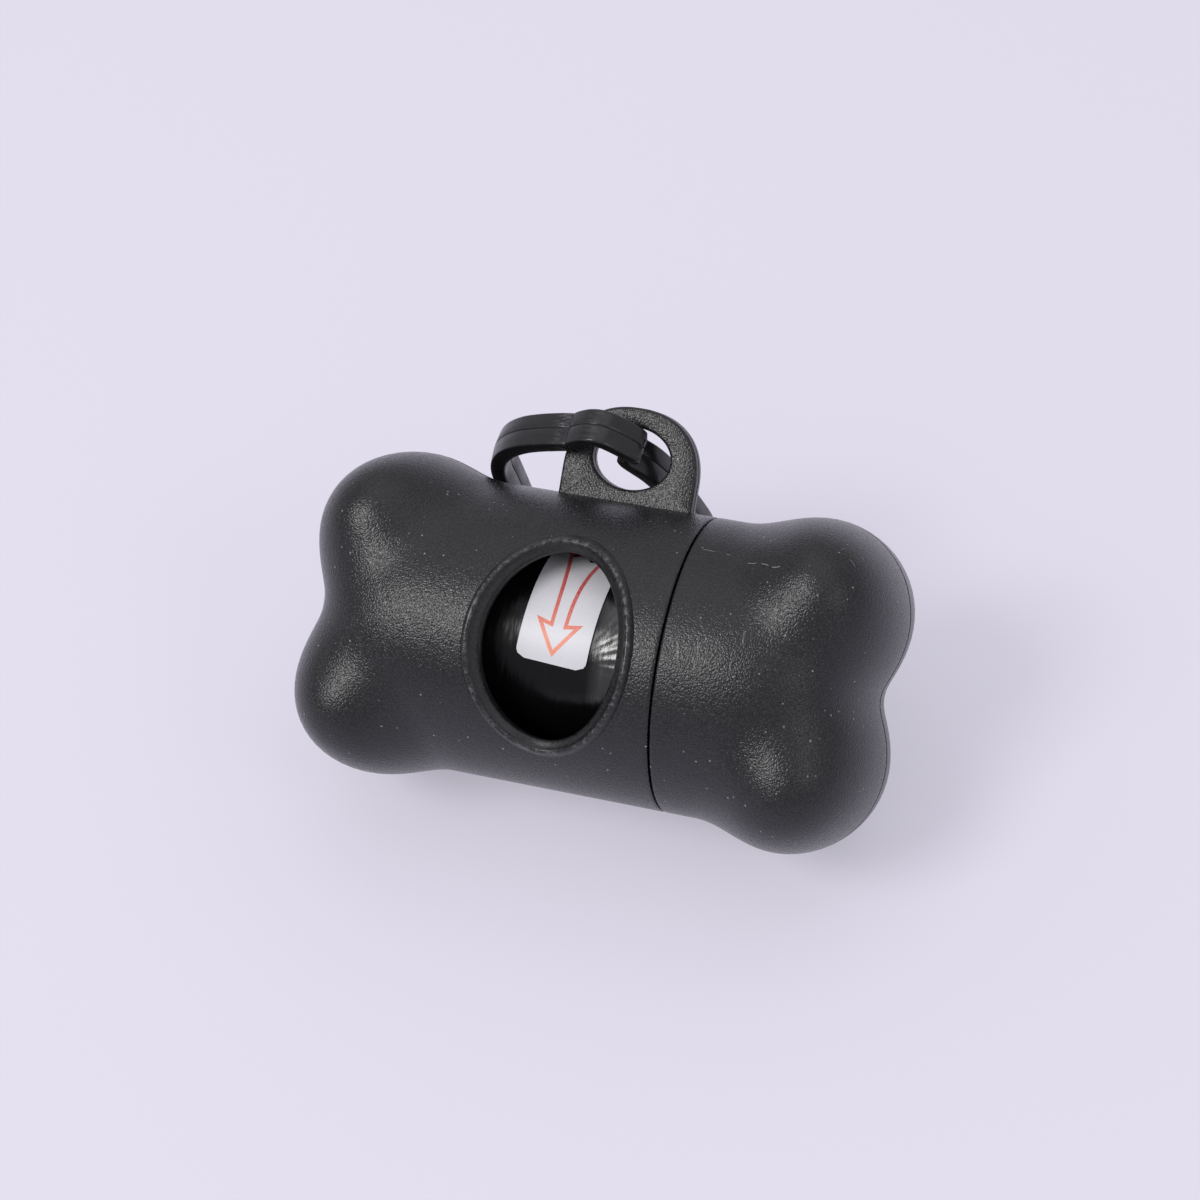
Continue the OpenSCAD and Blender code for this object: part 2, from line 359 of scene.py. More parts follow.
def mark_points(obj: Thing, name: str, values: list[float]) -> None:
    """Store one number for each point of a piece.

    Args:
        obj: The piece.
        name: Name that its material reads.
        values: One value for each point.
    """
    mark = obj.data.attributes.new(name, "FLOAT", "POINT")
    mark.data.foreach_set("value", values)


def applied(obj: Thing) -> Thing:
    """Bake the object's modifiers into a plain mesh and drop them.

    Args:
        obj: Object with live modifiers.
    Returns:
        The same object, with its evaluated mesh.
    """
    evaluated = obj.evaluated_get(bpy.context.evaluated_depsgraph_get())
    mesh = bpy.data.meshes.new_from_object(evaluated)
    mesh.name = obj.name
    obj.modifiers.clear()
    obj.data = mesh
    return obj


def combine(obj: Thing, other: Thing, way: Join) -> Thing:
    """Join or cut one closed mesh with another, which is then removed.

    Args:
        obj: Object that is kept.
        other: Tool object.
        way: Whether the tool is added or cut away.
    Returns:
        The kept object.
    """
    joining = obj.modifiers.new("join", "BOOLEAN")
    joining.operation = way.value
    joining.solver = "MANIFOLD"
    joining.object = other
    applied(obj)
    bpy.data.objects.remove(other, do_unlink=True)
    return obj


def graded(*stops: tuple[float, float, int]) -> list[float]:
    """Values over joined spans.

    Args:
        *stops: Spans as (from, to, steps).
    Returns:
        The values, with each end once.
    """
    values: list[float] = []
    for low, high, steps in stops:
        values.extend(low + (high - low) * k / steps for k in range(steps))
    values.append(stops[-1][1])
    return values


# --------------------------------------------------------------------------
# finishes
# --------------------------------------------------------------------------


class Tree:
    """Small builder for a material's nodes."""

    def __init__(self, name: str) -> None:
        """Start an empty material.

        Args:
            name: Name of the material.
        """
        self.material = bpy.data.materials.new(name)
        self.material.use_nodes = True
        self.tree = self.material.node_tree
        self.tree.nodes.clear()
        self.output = self.tree.nodes.new("ShaderNodeOutputMaterial")
        self.coords = self.tree.nodes.new("ShaderNodeTexCoord")

    def feed(self, socket: Socket, value: object) -> None:
        """Set an input.

        Args:
            socket: Input of a node.
            value: A constant or another node's output.
        """
        if isinstance(value, Socket):
            self.tree.links.new(value, socket)
        else:
            socket.default_value = value

    def node(self, kind: str, inputs: dict | None = None, **props: object) -> bpy.types.Node:
        """Add a node.

        Args:
            kind: Node type without the ShaderNode prefix.
            inputs: Socket name or index to a constant or an output socket.
            **props: Node properties.
        Returns:
            The node.
        """
        made = self.tree.nodes.new("ShaderNode" + kind)
        for key, value in props.items():
            setattr(made, key, value)
        for key, value in (inputs or {}).items():
            self.feed(made.inputs[key], value)
        return made

    def object_coords(self) -> Socket:
        """Object coordinates in metres."""
        return self.coords.outputs["Object"]

    def drawn_out(self, scale: Triple) -> Socket:
        """Object coordinates scaled along each axis."""
        return self.node("Mapping", {"Vector": self.object_coords(), "Scale": scale}).outputs[0]

    def attribute(self, name: str) -> Socket:
        """The number that each point of the piece carries under this name."""
        return self.node("Attribute", attribute_name=name, attribute_type="GEOMETRY").outputs["Fac"]

    def grain(self, scale: float, detail: float = 2.0, rough: float = 0.6,
              where: Socket | None = None) -> Socket:
        """Fractal noise.

        Args:
            scale: Features per metre.
            detail: Finer layers.
            rough: How strong the finer layers are.
            where: Coordinates, or None for the object's.
        Returns:
            Value from zero to one.
        """
        made = self.node("TexNoise", {"Vector": where or self.object_coords(), "Scale": scale,
                                      "Detail": detail, "Roughness": rough})
        return made.outputs["Fac"]

    def cells(self, scale: float) -> Socket:
        """Distance to scattered points at a scale per metre."""
        made = self.node("TexVoronoi", {"Vector": self.object_coords(), "Scale": scale})
        return made.outputs["Distance"]

    def maths(self, operation: str, a: object, b: object = 0.0) -> Socket:
        """One arithmetic step."""
        return self.node("Math", {0: a, 1: b}, operation=operation).outputs[0]

    def times(self, a: object, b: object) -> Socket:
        """Product of two values."""
        return self.maths("MULTIPLY", a, b)

    def plus(self, a: object, b: object) -> Socket:
        """Sum of two values."""
        return self.maths("ADD", a, b)

    def larger(self, a: object, b: object) -> Socket:
        """Larger of two values."""
        return self.maths("MAXIMUM", a, b)

    def span(self, value: object, low: float, high: float, to_low: float = 0.0,
             to_high: float = 1.0) -> Socket:
        """Map a value from one span to another, clamped.

        Args:
            value: What is mapped.
            low: Start of its span.
            high: End of its span.
            to_low: Result at the start.
            to_high: Result at the end.
        Returns:
            The mapped value.
        """
        made = self.node("MapRange", {"Value": value, "From Min": low, "From Max": high,
                                      "To Min": to_low, "To Max": to_high})
        return made.outputs["Result"]

    def mix(self, factor: object, a: object, b: object) -> Socket:
        """Blend two colours.

        Args:
            factor: Zero for the first, one for the second.
            a: First colour.
            b: Second colour.
        Returns:
            The blend.
        """
        made = self.node("Mix", data_type="RGBA")
        for index, value in ((0, factor), (6, a), (7, b)):
            self.feed(made.inputs[index], value)
        return made.outputs[2]

    def vector_maths(self, operation: str, a: object, b: object, output: str = "Vector") -> Socket:
        """One step on two vectors; output names the result."""
        return self.node("VectorMath", {0: a, 1: b}, operation=operation).outputs[output]

    def scaled(self, vector: object, factor: object) -> Socket:
        """A vector times a number."""
        return self.node("VectorMath", {0: vector, "Scale": factor}, operation="SCALE").outputs[0]

    def stroke(self, start: np.ndarray, end: np.ndarray, width: float, where: Socket) -> Socket:
        """Mask of a thin straight mark.

        Args:
            start: One end, in metres.
            end: Other end, in metres.
            width: Full width in metres.
            where: Coordinates to measure in.
        Returns:
            One on the mark, zero off it.
        """
        run = end - start
        off = self.vector_maths("SUBTRACT", where, tuple(start))
        part = self.vector_maths("DOT_PRODUCT", off, tuple(run / float(run @ run)), "Value")
        part = self.larger(self.maths("MINIMUM", part, 1.0), 0.0)
        gap = self.vector_maths("DISTANCE", off, self.scaled(tuple(run), part), "Value")
        return self.span(gap, width * 0.22, width * 0.6, 1.0, 0.0)

    def bump(self, height: Socket, strength: float, distance_mm: float,
             normal: Socket | None = None) -> Socket:
        """Shading relief.

        Args:
            height: Height from zero to one.
            strength: How much of it shows.
            distance_mm: Real height in millimetres.
            normal: Relief under this one, or None.
        Returns:
            The changed normal.
        """
        inputs = {"Height": height, "Strength": strength, "Distance": distance_mm * MM}
        if normal is not None:
            inputs["Normal"] = normal
        return self.node("Bump", inputs).outputs["Normal"]

    def shaded(self, **sockets: object) -> Material:
        """Finish with a Principled shader.

        Args:
            **sockets: Its inputs, with underscores for spaces.
        Returns:
            The material.
        """
        shader = self.node("BsdfPrincipled",
                           {key.replace("_", " "): value for key, value in sockets.items()})
        self.tree.links.new(shader.outputs[0], self.output.inputs["Surface"])
        return self.material


@dataclass(frozen=True)
class Mark:
    """Thin line worn or left on the skin, through places seen in the photograph."""

    path_px: tuple[tuple[float, float], ...]
    width_mm: float
    strength: float


CAP_MARKS = (
    Mark(((702, 549), (712, 551), (722, 552), (732, 555)), 0.13, 0.55),
    Mark(((748, 563.5), (757, 562.5), (766, 565), (773, 567.5), (780, 566)), 0.13, 0.7),
    Mark(((848, 547), (852, 550)), 0.12, 0.6),
    Mark(((850, 560), (855, 566)), 0.12, 0.6),
    Mark(((678, 637), (677, 659)), 0.22, 0.35),
    Mark(((697, 645), (698, 652)), 0.2, 0.35),
    Mark(((744, 632), (743, 645)), 0.25, 0.25),
    Mark(((880.7, 695.2), (879.4, 702.3), (879.1, 708.5)), 0.35, 0.3),
)


@dataclass(frozen=True)
class GrainedPlastic:
    """Black plastic from a spark-eroded mould, with dust, scuffs and a joint line."""

    stance: Stance
    name: str = "shell_grain"
    marks: tuple[Mark, ...] = ()
    skin: BoneSkin = field(default_factory=BoneSkin)
    view: PhotoView = field(default_factory=PhotoView)
    deep: Colour = (0.0060, 0.0060, 0.0072, 1.0)
    pale: Colour = (0.018, 0.018, 0.0205, 1.0)
    dust: Colour = (0.32, 0.32, 0.33, 1.0)
    scuff: Colour = (0.055, 0.055, 0.058, 1.0)
    joint: Colour = (0.0008, 0.0008, 0.0010, 1.0)
    grain_per_m: float = 4200.0
    grain_mm: float = 0.088
    grain_strength: float = 1.0
    rough_low: float = 0.20
    rough_high: float = 0.33
    joint_mm: float = 0.27
    waver_mm: float = 0.7
    speck_per_m: float = 700.0
    spot_per_m: float = 230.0
    cloud_per_m: float = 120.0
    rub_per_m: float = 70.0

    def dust_mask(self, t: Tree) -> Socket:
        """Small pale specks, thinly spread, in two sizes.

        Args:
            t: Tree under construction.
        Returns:
            One on a speck, zero off it.
        """
        speck = t.span(t.cells(self.speck_per_m), 0.105, 0.055)
        sparse = t.span(t.grain(330.0, detail=1.0), 0.48, 0.55, 0.0, 0.8)
        large = t.span(t.cells(self.spot_per_m), 0.034, 0.022)
        rare = t.span(t.grain(90.0, detail=1.0), 0.52, 0.56)
        return t.larger(t.times(speck, sparse), t.times(large, rare))

    def marked(self, t: Tree, pale: Socket) -> Socket:
        """Add the skin's single marks, which waver slightly along their run.

        Args:
            t: Tree under construction.
            pale: Mask of what is pale already.
        Returns:
            The mask with the marks.
        """
        waver = t.node("TexNoise", {"Vector": t.object_coords(), "Scale": 500.0, "Detail": 1.0})
        shake = t.vector_maths("SUBTRACT", waver.outputs["Color"], (0.5, 0.5, 0.5))
        where = t.vector_maths("ADD", t.object_coords(), t.scaled(shake, self.waver_mm * MM))
        for mark in self.marks:
            ends = self.stance.place(self.view.onto(self.skin, mark.path_px))
            for start, end in zip(ends[:-1], ends[1:]):
                one = t.times(t.stroke(start, end, mark.width_mm * MM, where), mark.strength)
                pale = t.larger(pale, one)
        return pale

    def joint_mask(self, t: Tree) -> Socket:
        """The line where front and rear halves meet on the middle plane.

        Args:
            t: Tree under construction.
        Returns:
            One on the line, zero off it.
        """
        normal = self.stance.turn() @ np.array([0.0, 1.0, 0.0])
        offset = float(normal @ np.array(self.stance.axis_pos_m))
        depth = t.vector_maths("DOT_PRODUCT", t.object_coords(), tuple(normal), "Value")
        away = t.maths("ABSOLUTE", t.maths("SUBTRACT", depth, offset))
        return t.span(away, self.joint_mm * 0.55 * MM, self.joint_mm * 1.2 * MM, 1.0, 0.0)

    def make(self) -> Material:
        """Grain and clouds, then rubs, dust, marks and the joint line over them.

        Returns:
            The material.
        """
        t = Tree(self.name)
        fine = t.grain(self.grain_per_m, detail=1.0, rough=0.5)
        pits = t.cells(self.grain_per_m * 0.8)
        height = t.plus(t.times(fine, 0.9), t.times(pits, 0.25))
        cloud = t.grain(self.cloud_per_m, detail=3.0)
        tone = t.plus(t.times(fine, 0.85), t.times(cloud, 0.15))
        base = t.mix(t.span(tone, 0.40, 0.64), self.deep, self.pale)
        rub = t.span(t.grain(self.rub_per_m, detail=5.0, rough=0.7), 0.60, 0.78, 0.0, 0.4)
        base = t.mix(t.times(rub, t.span(fine, 0.5, 0.62)), base, self.scuff)
        pale = self.dust_mask(t)
        if self.marks:
            pale = self.marked(t, pale)
        base = t.mix(pale, base, self.dust)
        joint = self.joint_mask(t)
        base = t.mix(joint, base, self.joint)
        mottled = t.plus(fine, t.times(cloud, 0.3))
        rough = t.span(mottled, 0.45, 0.85, self.rough_low, self.rough_high)
        shine = t.span(joint, 0.0, 1.0, 0.5, 0.0)
        normal = t.bump(height, self.grain_strength, self.grain_mm)
        return t.shaded(Base_Color=base, Roughness=rough, Normal=normal, IOR=1.48,
                        Specular_IOR_Level=shine)


@dataclass(frozen=True)
class ScuffedHighlitRim:
    """Satin black of the window's bezel, its crest polished, scuffed by fingers and painted paler
    as a highlight.
    """

    name: str = "rim_satin"
    deep: Colour = (0.006, 0.006, 0.007, 1.0)
    pale: Colour = (0.018, 0.018, 0.020, 1.0)
    worn_and_highlight: Colour = (0.15, 0.15, 0.152, 1.0)
    grain_per_m: float = 2600.0
    chips_per_m: float = 1500.0

    def make(self) -> Material:
        """Satin grain with chips of wear and a painted highlight along the crest.

        Returns:
            The material.
        """
        t = Tree(self.name)
        fine = t.grain(self.grain_per_m, detail=2.0, rough=0.65)
        # The crest band is painted paler: scuff chips, and a painted highlight along the crest.
        crest = t.attribute("crest")
        chips = t.span(t.grain(self.chips_per_m, detail=3.0, rough=0.7), 0.48, 0.62)
        wear = t.times(crest, chips)
        base = t.mix(t.span(fine, 0.4, 0.68), self.deep, self.pale)
        rubbed_and_highlit = t.mix(t.times(wear, 0.7), base, self.worn_and_highlight)
        polished = t.maths("SUBTRACT", fine, t.times(crest, 0.25))
        rough = t.span(polished, 0.2, 0.7, 0.24, 0.5)
        normal = t.bump(fine, strength=0.8, distance_mm=0.06)
        return t.shaded(Base_Color=rubbed_and_highlit, Roughness=rough, Normal=normal, IOR=1.48)


@dataclass(frozen=True)
class SatinPlastic:
    """Smooth black moulded plastic with fine brushed lines, paler where it is worn and where a
    highlight is painted.
    """

    name: str = "satin_black"
    tone: Colour = (0.011, 0.011, 0.0125, 1.0)
    worn_and_highlight: Colour = (0.20, 0.20, 0.21, 1.0)
    rough: float = 0.27
    line_per_m: float = 3400.0
    broad_per_m: float = 420.0

    def make(self) -> Material:
        """Brushed lines, paler where the piece carries wear and painted highlights.

        Returns:
            The material.
        """
        t = Tree(self.name)
        brushed = t.drawn_out((0.10, 1.0, 1.0))
        lines = t.grain(self.line_per_m, detail=2.0, rough=0.6, where=brushed)
        broad = t.grain(self.broad_per_m, detail=3.0, rough=0.6, where=brushed)
        # Pale paint from the piece's marks: rubbed wear, and a painted highlight on the clip's
        # bump.
        wear = t.attribute("wear")
        patch = t.plus(t.times(wear, 0.9), 0.025)
        rubbed_and_highlit = t.times(t.span(lines, 0.46, 0.66), patch)
        base = t.mix(rubbed_and_highlit, self.tone, self.worn_and_highlight)
        rough = t.span(broad, 0.3, 0.75, self.rough - 0.05, self.rough + 0.12)
        soft = t.bump(broad, strength=0.3, distance_mm=0.05)
        normal = t.bump(lines, strength=0.45, distance_mm=0.035, normal=soft)
        return t.shaded(Base_Color=base, Roughness=rough, Normal=normal, IOR=1.5)


@dataclass(frozen=True)
class WoundFilm:
    """Glossy black bag film, drawn tight with small creases, its reflection painted weaker left of
    the sticker as shade.
    """

    name: str = "bag_film"
    tone: Colour = (0.003, 0.003, 0.0035, 1.0)
    shaded_until_mm: float = 2.0
    bright_from_mm: float = 4.0
    crease_per_m: float = 420.0
    wave_per_m: float = 160.0

    def make(self) -> Material:
        """Creases over soft waves, their reflection full right of the sticker and painted weaker,
        as shade, left of it.

        Returns:
            The material.
        """
        t = Tree(self.name)
        drawn = t.drawn_out((3.0, 0.5, 0.5))
        creases = t.grain(self.crease_per_m, detail=5.0, rough=0.6, where=drawn)
        waves = t.bump(t.grain(self.wave_per_m, detail=2.0), strength=0.35, distance_mm=0.4)
        normal = t.bump(creases, strength=0.5, distance_mm=0.12, normal=waves)
        rough = t.span(creases, 0.3, 0.7, 0.16, 0.3)
        # Painted shade: the reflection is cut by place along the roll, weak left of the sticker.
        place = t.node("SeparateXYZ", {"Vector": t.object_coords()}).outputs["X"]
        shine = t.span(place, self.shaded_until_mm * MM, self.bright_from_mm * MM, 0.22, 1.0)
        return t.shaded(Base_Color=self.tone, Roughness=rough, Normal=normal, IOR=1.5,
                        Specular_IOR_Level=shine)


@dataclass(frozen=True)
class PaperLabel:
    """White coated paper of the sticker."""

    name: str = "sticker_white"
    tone: Colour = (0.66, 0.65, 0.68, 1.0)
    pale: Colour = (0.70, 0.69, 0.72, 1.0)
    fibre_per_m: float = 2600.0

    def make(self) -> Material:
        """White paper with faint fibres.

        Returns:
            The material.
        """
        t = Tree(self.name)
        fibre = t.grain(self.fibre_per_m, detail=3.0)
        base = t.mix(t.span(fibre, 0.3, 0.7), self.tone, self.pale)
        normal = t.bump(fibre, strength=0.08, distance_mm=0.01)
        return t.shaded(Base_Color=base, Roughness=0.35, Normal=normal, IOR=1.45)


@dataclass(frozen=True)
class ArrowInk:
    """Printed ink that runs from red at the tail to orange at the tip."""

    name: str = "arrow_ink"
    tail: Colour = (0.52, 0.025, 0.02, 1.0)
    tip: Colour = (0.9, 0.24, 0.10, 1.0)
    dots: Colour = (0.85, 0.8, 0.8, 1.0)
    dots_per_m: float = 5200.0

    def make(self) -> Material:
        """Ink that fades from tip to tail, with paper showing through in dots.

        Returns:
            The material.
        """
        t = Tree(self.name)
        tone = t.mix(t.span(t.attribute("along"), 0.0, 1.0), self.tip, self.tail)
        dots = t.span(t.grain(self.dots_per_m, detail=1.0), 0.3, 0.8, 0.0, 0.25)
        return t.shaded(Base_Color=t.mix(dots, tone, self.dots), Roughness=0.35, IOR=1.45)


@dataclass(frozen=True)
class CoreBoard:
    """Bare brown board of the roll's tube."""

    name: str = "core_board"
    deep: Colour = (0.30, 0.19, 0.10, 1.0)
    pale: Colour = (0.50, 0.36, 0.22, 1.0)
    fibre_per_m: float = 1500.0
    cloud_per_m: float = 200.0

    def make(self) -> Material:
        """Brown fibres with slow clouds.

        Returns:
            The material.
        """
        t = Tree(self.name)
        fibre = t.grain(self.fibre_per_m, detail=5.0, rough=0.7)
        cloud = t.grain(self.cloud_per_m, detail=2.0)
        tone = t.plus(t.times(fibre, 0.6), t.times(cloud, 0.4))
        base = t.mix(t.span(tone, 0.3, 0.7), self.deep, self.pale)
        normal = t.bump(fibre, strength=0.4, distance_mm=0.03)
        return t.shaded(Base_Color=base, Roughness=0.85, Normal=normal, IOR=1.45)


@dataclass(frozen=True)
class StudioPaper:
    """Pale lavender paper of the floor, with part of its paleness independent of the lamps."""

    name: str = "studio_paper"
    plain: Colour = (0.70, 0.675, 0.765, 1.0)
    lit: Colour = (0.385, 0.371, 0.421, 1.0)
    even: Colour = (0.383, 0.366, 0.425, 1.0)

    def make(self) -> Material:
        """Plain paper for the light it throws back, partly even where it is seen.

        Returns:
            The material.
        """
        t = Tree(self.name)
        bounce = t.node("BsdfDiffuse", {"Color": self.plain}).outputs[0]
        lit = t.node("BsdfDiffuse", {"Color": self.lit}).outputs[0]
        even = t.node("Emission", {"Color": self.even, "Strength": 1.0}).outputs[0]
        seen = t.node("AddShader", {0: lit, 1: even}).outputs[0]
        path = t.node("LightPath")
        mirrored = t.larger(path.outputs["Is Glossy Ray"], path.outputs["Is Transmission Ray"])
        view = t.larger(path.outputs["Is Camera Ray"], mirrored)
        both = t.node("MixShader", {0: view, 1: bounce, 2: seen}).outputs[0]
        t.tree.links.new(both, t.output.inputs["Surface"])
        return t.material


@dataclass(frozen=True)
class Finishes:
    """Every finish of the object, built once."""

    shell: Material
    cap: Material
    rim: Material
    smooth: Material
    clip: Material
    film: Material
    paper: Material
    ink: Material
    board: Material

    @classmethod
    def build(cls, stance: Stance) -> "Finishes":
        """Build all the materials.

        Args:
            stance: Where the bone stands.
        Returns:
            The finishes.
        """
        return cls(
            shell=GrainedPlastic(stance).make(),
            cap=GrainedPlastic(stance, "cap_grain", CAP_MARKS).make(),
            rim=ScuffedHighlitRim().make(),
            smooth=SatinPlastic(name="neck_plastic", rough=0.4).make(),
            clip=SatinPlastic(name="clip_satin").make(),
            film=WoundFilm().make(),
            paper=PaperLabel().make(),
            ink=ArrowInk().make(),
            board=CoreBoard().make(),
        )


def hand_in(obj: Thing, body: Body, nodes: tuple[str, ...], slot: str,
            *materials: Material) -> None:
    """Dress a finished piece, attach it to its body and hide the CAD nodes it stands for.

    Args:
        obj: The piece.
        body: Body it rides on.
        nodes: CAD nodes it stands for.
        slot: Not used.
        *materials: Its materials in slot order.
    """
    obj.data.materials.clear()
    for material in materials:
        obj.data.materials.append(material)
    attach(obj, body.value)
    if nodes:
        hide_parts(*nodes)
    LOG.info("%s: %d faces on %s", obj.name, len(obj.data.polygons), body.value)


# --------------------------------------------------------------------------
# shells
# --------------------------------------------------------------------------


@dataclass(frozen=True)
class HalfShell:
    """Half of an open-ended moulding: a skin, a wall and softened edges.

    The half is built with its rounded end towards +x and its depth towards -y,
    pressed shorter along the roll by the squash, and mirrored where it belongs.
    """

    skin: BoneSkin
    open_x: float
    squash: float = 1.0
    wall: float = 1.4
    joint_dip: float = 0.3
    joint_tilts: tuple[float, ...] = (0.0, 0.28, 0.7, 1.4, 2.6, 4.2, 6.0)
    mouth_dip: float = 0.16
    mouth_steps: tuple[float, ...] = (0.0, 0.09, 0.22, 0.45, 0.9, 1.6)
    tilt_step: float = 3.0
    row_step: float = 1.1
    end_steps: int = 64

    def tilts(self) -> list[float]:
        """Angles away from the middle plane, in degrees, fine near the plane."""
        *near, far = self.joint_tilts
        return near + graded((far, 90.0, round((90.0 - far) / self.tilt_step)))

    def stations(self) -> list[float]:
        """Places along the roll, fine at the mouth.

        Returns:
            Millimetres.
        """
        *near, far = self.mouth_steps
        mouth = self.open_x * self.squash
        count = round((self.skin.core_x - mouth - far) / self.row_step)
        return [mouth + d for d in near] + graded((mouth + far, self.skin.core_x, count))

    def layer(self, maker: MeshMaker, inset: float, edged: float) -> dict[str, list[int]]:
        """Lay one skin's points and faces.

        Args:
            maker: Mesh under construction.
            inset: Depth of this skin under the outer one.
            edged: One where its edges dip at the joint and the mouth, otherwise zero.
        Returns:
            Index lists for closing the wall: plane edge and mouth.
        """
        tilts = np.array(self.tilts())
        half = len(tilts) - 1
        angles = np.radians(np.concatenate([tilts, 180.0 - tilts[-2::-1]]))
        dips = np.interp(tilts, self.joint_tilts[:3],
                         [self.joint_dip * edged * k for k in (1.0, 0.45, 0.0)])
        col_dip = np.concatenate([dips, dips[-2::-1]])
        xs = np.array(self.stations())
        row_dip = np.interp(xs - xs[0], self.mouth_steps[:4],
                            [self.mouth_dip * edged * k for k in (1.0, 0.4, 0.08, 0.0)])
        start = rows(np.outer(xs, np.ones(len(angles))), 0.0, 0.0)
        way = np.broadcast_to(rows(0.0, -np.sin(angles), np.cos(angles)), start.shape)
        depth = inset + np.maximum(col_dip[None, :], row_dip[:, None])
        first = maker.add_points(self.skin.on_skin(start, way, depth))
        cols = len(angles)
        maker.add_grid(first, len(xs), cols)
        turns = np.radians(np.linspace(90.0, -90.0, self.end_steps + 1)[1:-1])[:, None]
        lifts = np.radians(tilts[:-1])
        way = rows(np.cos(lifts) * np.cos(turns), -np.sin(lifts), np.cos(lifts) * np.sin(turns))
        start = np.broadcast_to(np.array([self.skin.core_x, 0.0, 0.0]), way.shape)
        end_dip = np.broadcast_to(dips[:-1], way.shape[:2])
        end_first = maker.add_points(self.skin.on_skin(start, way, inset + end_dip))
        last = first + (len(xs) - 1) * cols
        columns = [range(last, last + half)]
        for i in range(len(turns)):
            columns.append(range(end_first + i * half, end_first + (i + 1) * half))
        columns += [range(last + cols - 1, last + cols - 1 - half, -1)]
        pole = last + half
        for left, right in zip(columns[:-1], columns[1:]):
            maker.add_band(left, right)
            maker.faces.append((left[-1], pole, right[-1]))
        plane = [first + i * cols for i in range(len(xs))]
        plane += [column[0] for column in columns[1:-1]]
        plane += [first + i * cols + cols - 1 for i in reversed(range(len(xs)))]
        return {"plane": plane, "mouth": [first + j for j in range(cols)]}

    def build(self, name: str, stance: Stance, end: float, side: Side) -> Thing:
        """Make the half shell.

        Args:
            name: Name of the piece.
            stance: Where the bone stands.
            end: +1 with the rounded end towards +x, -1 towards -x.
            side: Front or rear half.
        Returns:
            The closed half shell.
        """
        maker = MeshMaker()
        outer = self.layer(maker, 0.0, 1.0)
        inner = self.layer(maker, self.wall, 0.0)
        for edge in ("plane", "mouth"):
            maker.add_band(outer[edge], inner[edge])
        points = np.array(maker.points) * np.array([end / self.squash, side.value, 1.0])
        maker.points = [tuple(p) for p in points]
        return maker.build(name, stance, smooth_deg=40.0)


@dataclass(frozen=True)
class Lug:
    """Hanging lug: a plate with a rounded top, an oval hole and broken edges."""

    width: float = 18.3
    middle_x: float = 0.3
    top: float = 32.0
    root: float = 18.75
    thick: float = 2.8
    squareness: float = 2.3
    hole_a: float = 5.3
    hole_c: float = 4.1
    hole_z: float = 25.3
    rounding: float = 0.42
    joint_cut: float = 0.07
    bow_steps: int = 72
    count: int = 144

    def outline(self) -> np.ndarray:
        """Outer edge seen from the front, from the middle of the root.

        Returns:
            Rows of x and z, evenly spaced.
        """
        a = self.width / 2.0
        top_centre = self.top - a
        arc = np.linspace(0.0, math.pi, self.bow_steps + 1)
        power = 2.0 / self.squareness
        bow = rows(np.sign(np.cos(arc)) * a * np.abs(np.cos(arc)) ** power,
                   top_centre + a * np.sin(arc) ** power)
        foot = self.root
        path = np.concatenate([[[0.0, foot], [a, foot]], bow, [[-a, foot], [0.0, foot]]])
        run = np.concatenate([[0.0], np.cumsum(np.linalg.norm(np.diff(path, axis=0), axis=1))])
        at = np.linspace(0.0, run[-1], self.count + 1)[:-1]
        return rows(np.interp(at, run, path[:, 0]), np.interp(at, run, path[:, 1]))

    @staticmethod
    def inward(ring: np.ndarray) -> np.ndarray:
        """Directions to the left of a ring's travel.

        Args:
            ring: Rows of x and z.
        Returns:
            Unit vectors as rows.
        """
        along = np.roll(ring, -1, axis=0) - np.roll(ring, 1, axis=0)
        along /= np.linalg.norm(along, axis=1, keepdims=True)
        return rows(-along[:, 1], along[:, 0])

    def build(self, name: str, stance: Stance, side: Side) -> Thing:
        """Make one half of the lug, closed, its root inside the shell's wall.

        Args:
            name: Name of the piece.
            stance: Where the bone stands.
            side: Front or rear half.
        Returns:
            The half lug.
        """
        outer = self.outline()
        hole_at = np.arctan2(outer[:, 1] - self.hole_z, outer[:, 0])
        hole = rows(self.hole_a * np.cos(hole_at), self.hole_z + self.hole_c * np.sin(hole_at))
        outer_in, hole_in = self.inward(outer), self.inward(hole)
        half, cut, soft = self.thick / 2.0, self.joint_cut, self.rounding
        steps = [(0.0, cut), (cut, 0.0), (half - soft, 0.0), (half - 0.2, 0.07),
                 (half - 0.06, 0.22), (half, soft)]
        maker = MeshMaker()

        def ring(shape: np.ndarray, y: float) -> range:
            """Add a ring of points at one depth.

            Args:
                shape: Rows of x and z.
                y: Distance from the middle plane.
            Returns:
                The points' indices.
            """
            x, z = shape.T
            first = maker.add_points(rows(x + self.middle_x, -y * side.value, z))
            return range(first, first + self.count)

        rings = [ring(outer + outer_in * inset, y) for y, inset in steps]
        rings += [ring(hole - hole_in * inset, y) for y, inset in steps[::-1]]
        for a, b in zip(rings, rings[1:] + rings[:1]):
            maker.add_band(a, b, closed=True)
        return maker.build(name, stance, smooth_deg=30.0)


@dataclass(frozen=True)
class Seam:
    """Where body and cap meet, and the bore that the neck and the liner are fixed in."""

    x: float = 12.9
    gap: float = 0.3
    bore_r: float = 18.02
    steps: int = 160


@dataclass
class SubAssembly:
    """What every group of pieces is built from."""

    stance: Stance
    finishes: Finishes


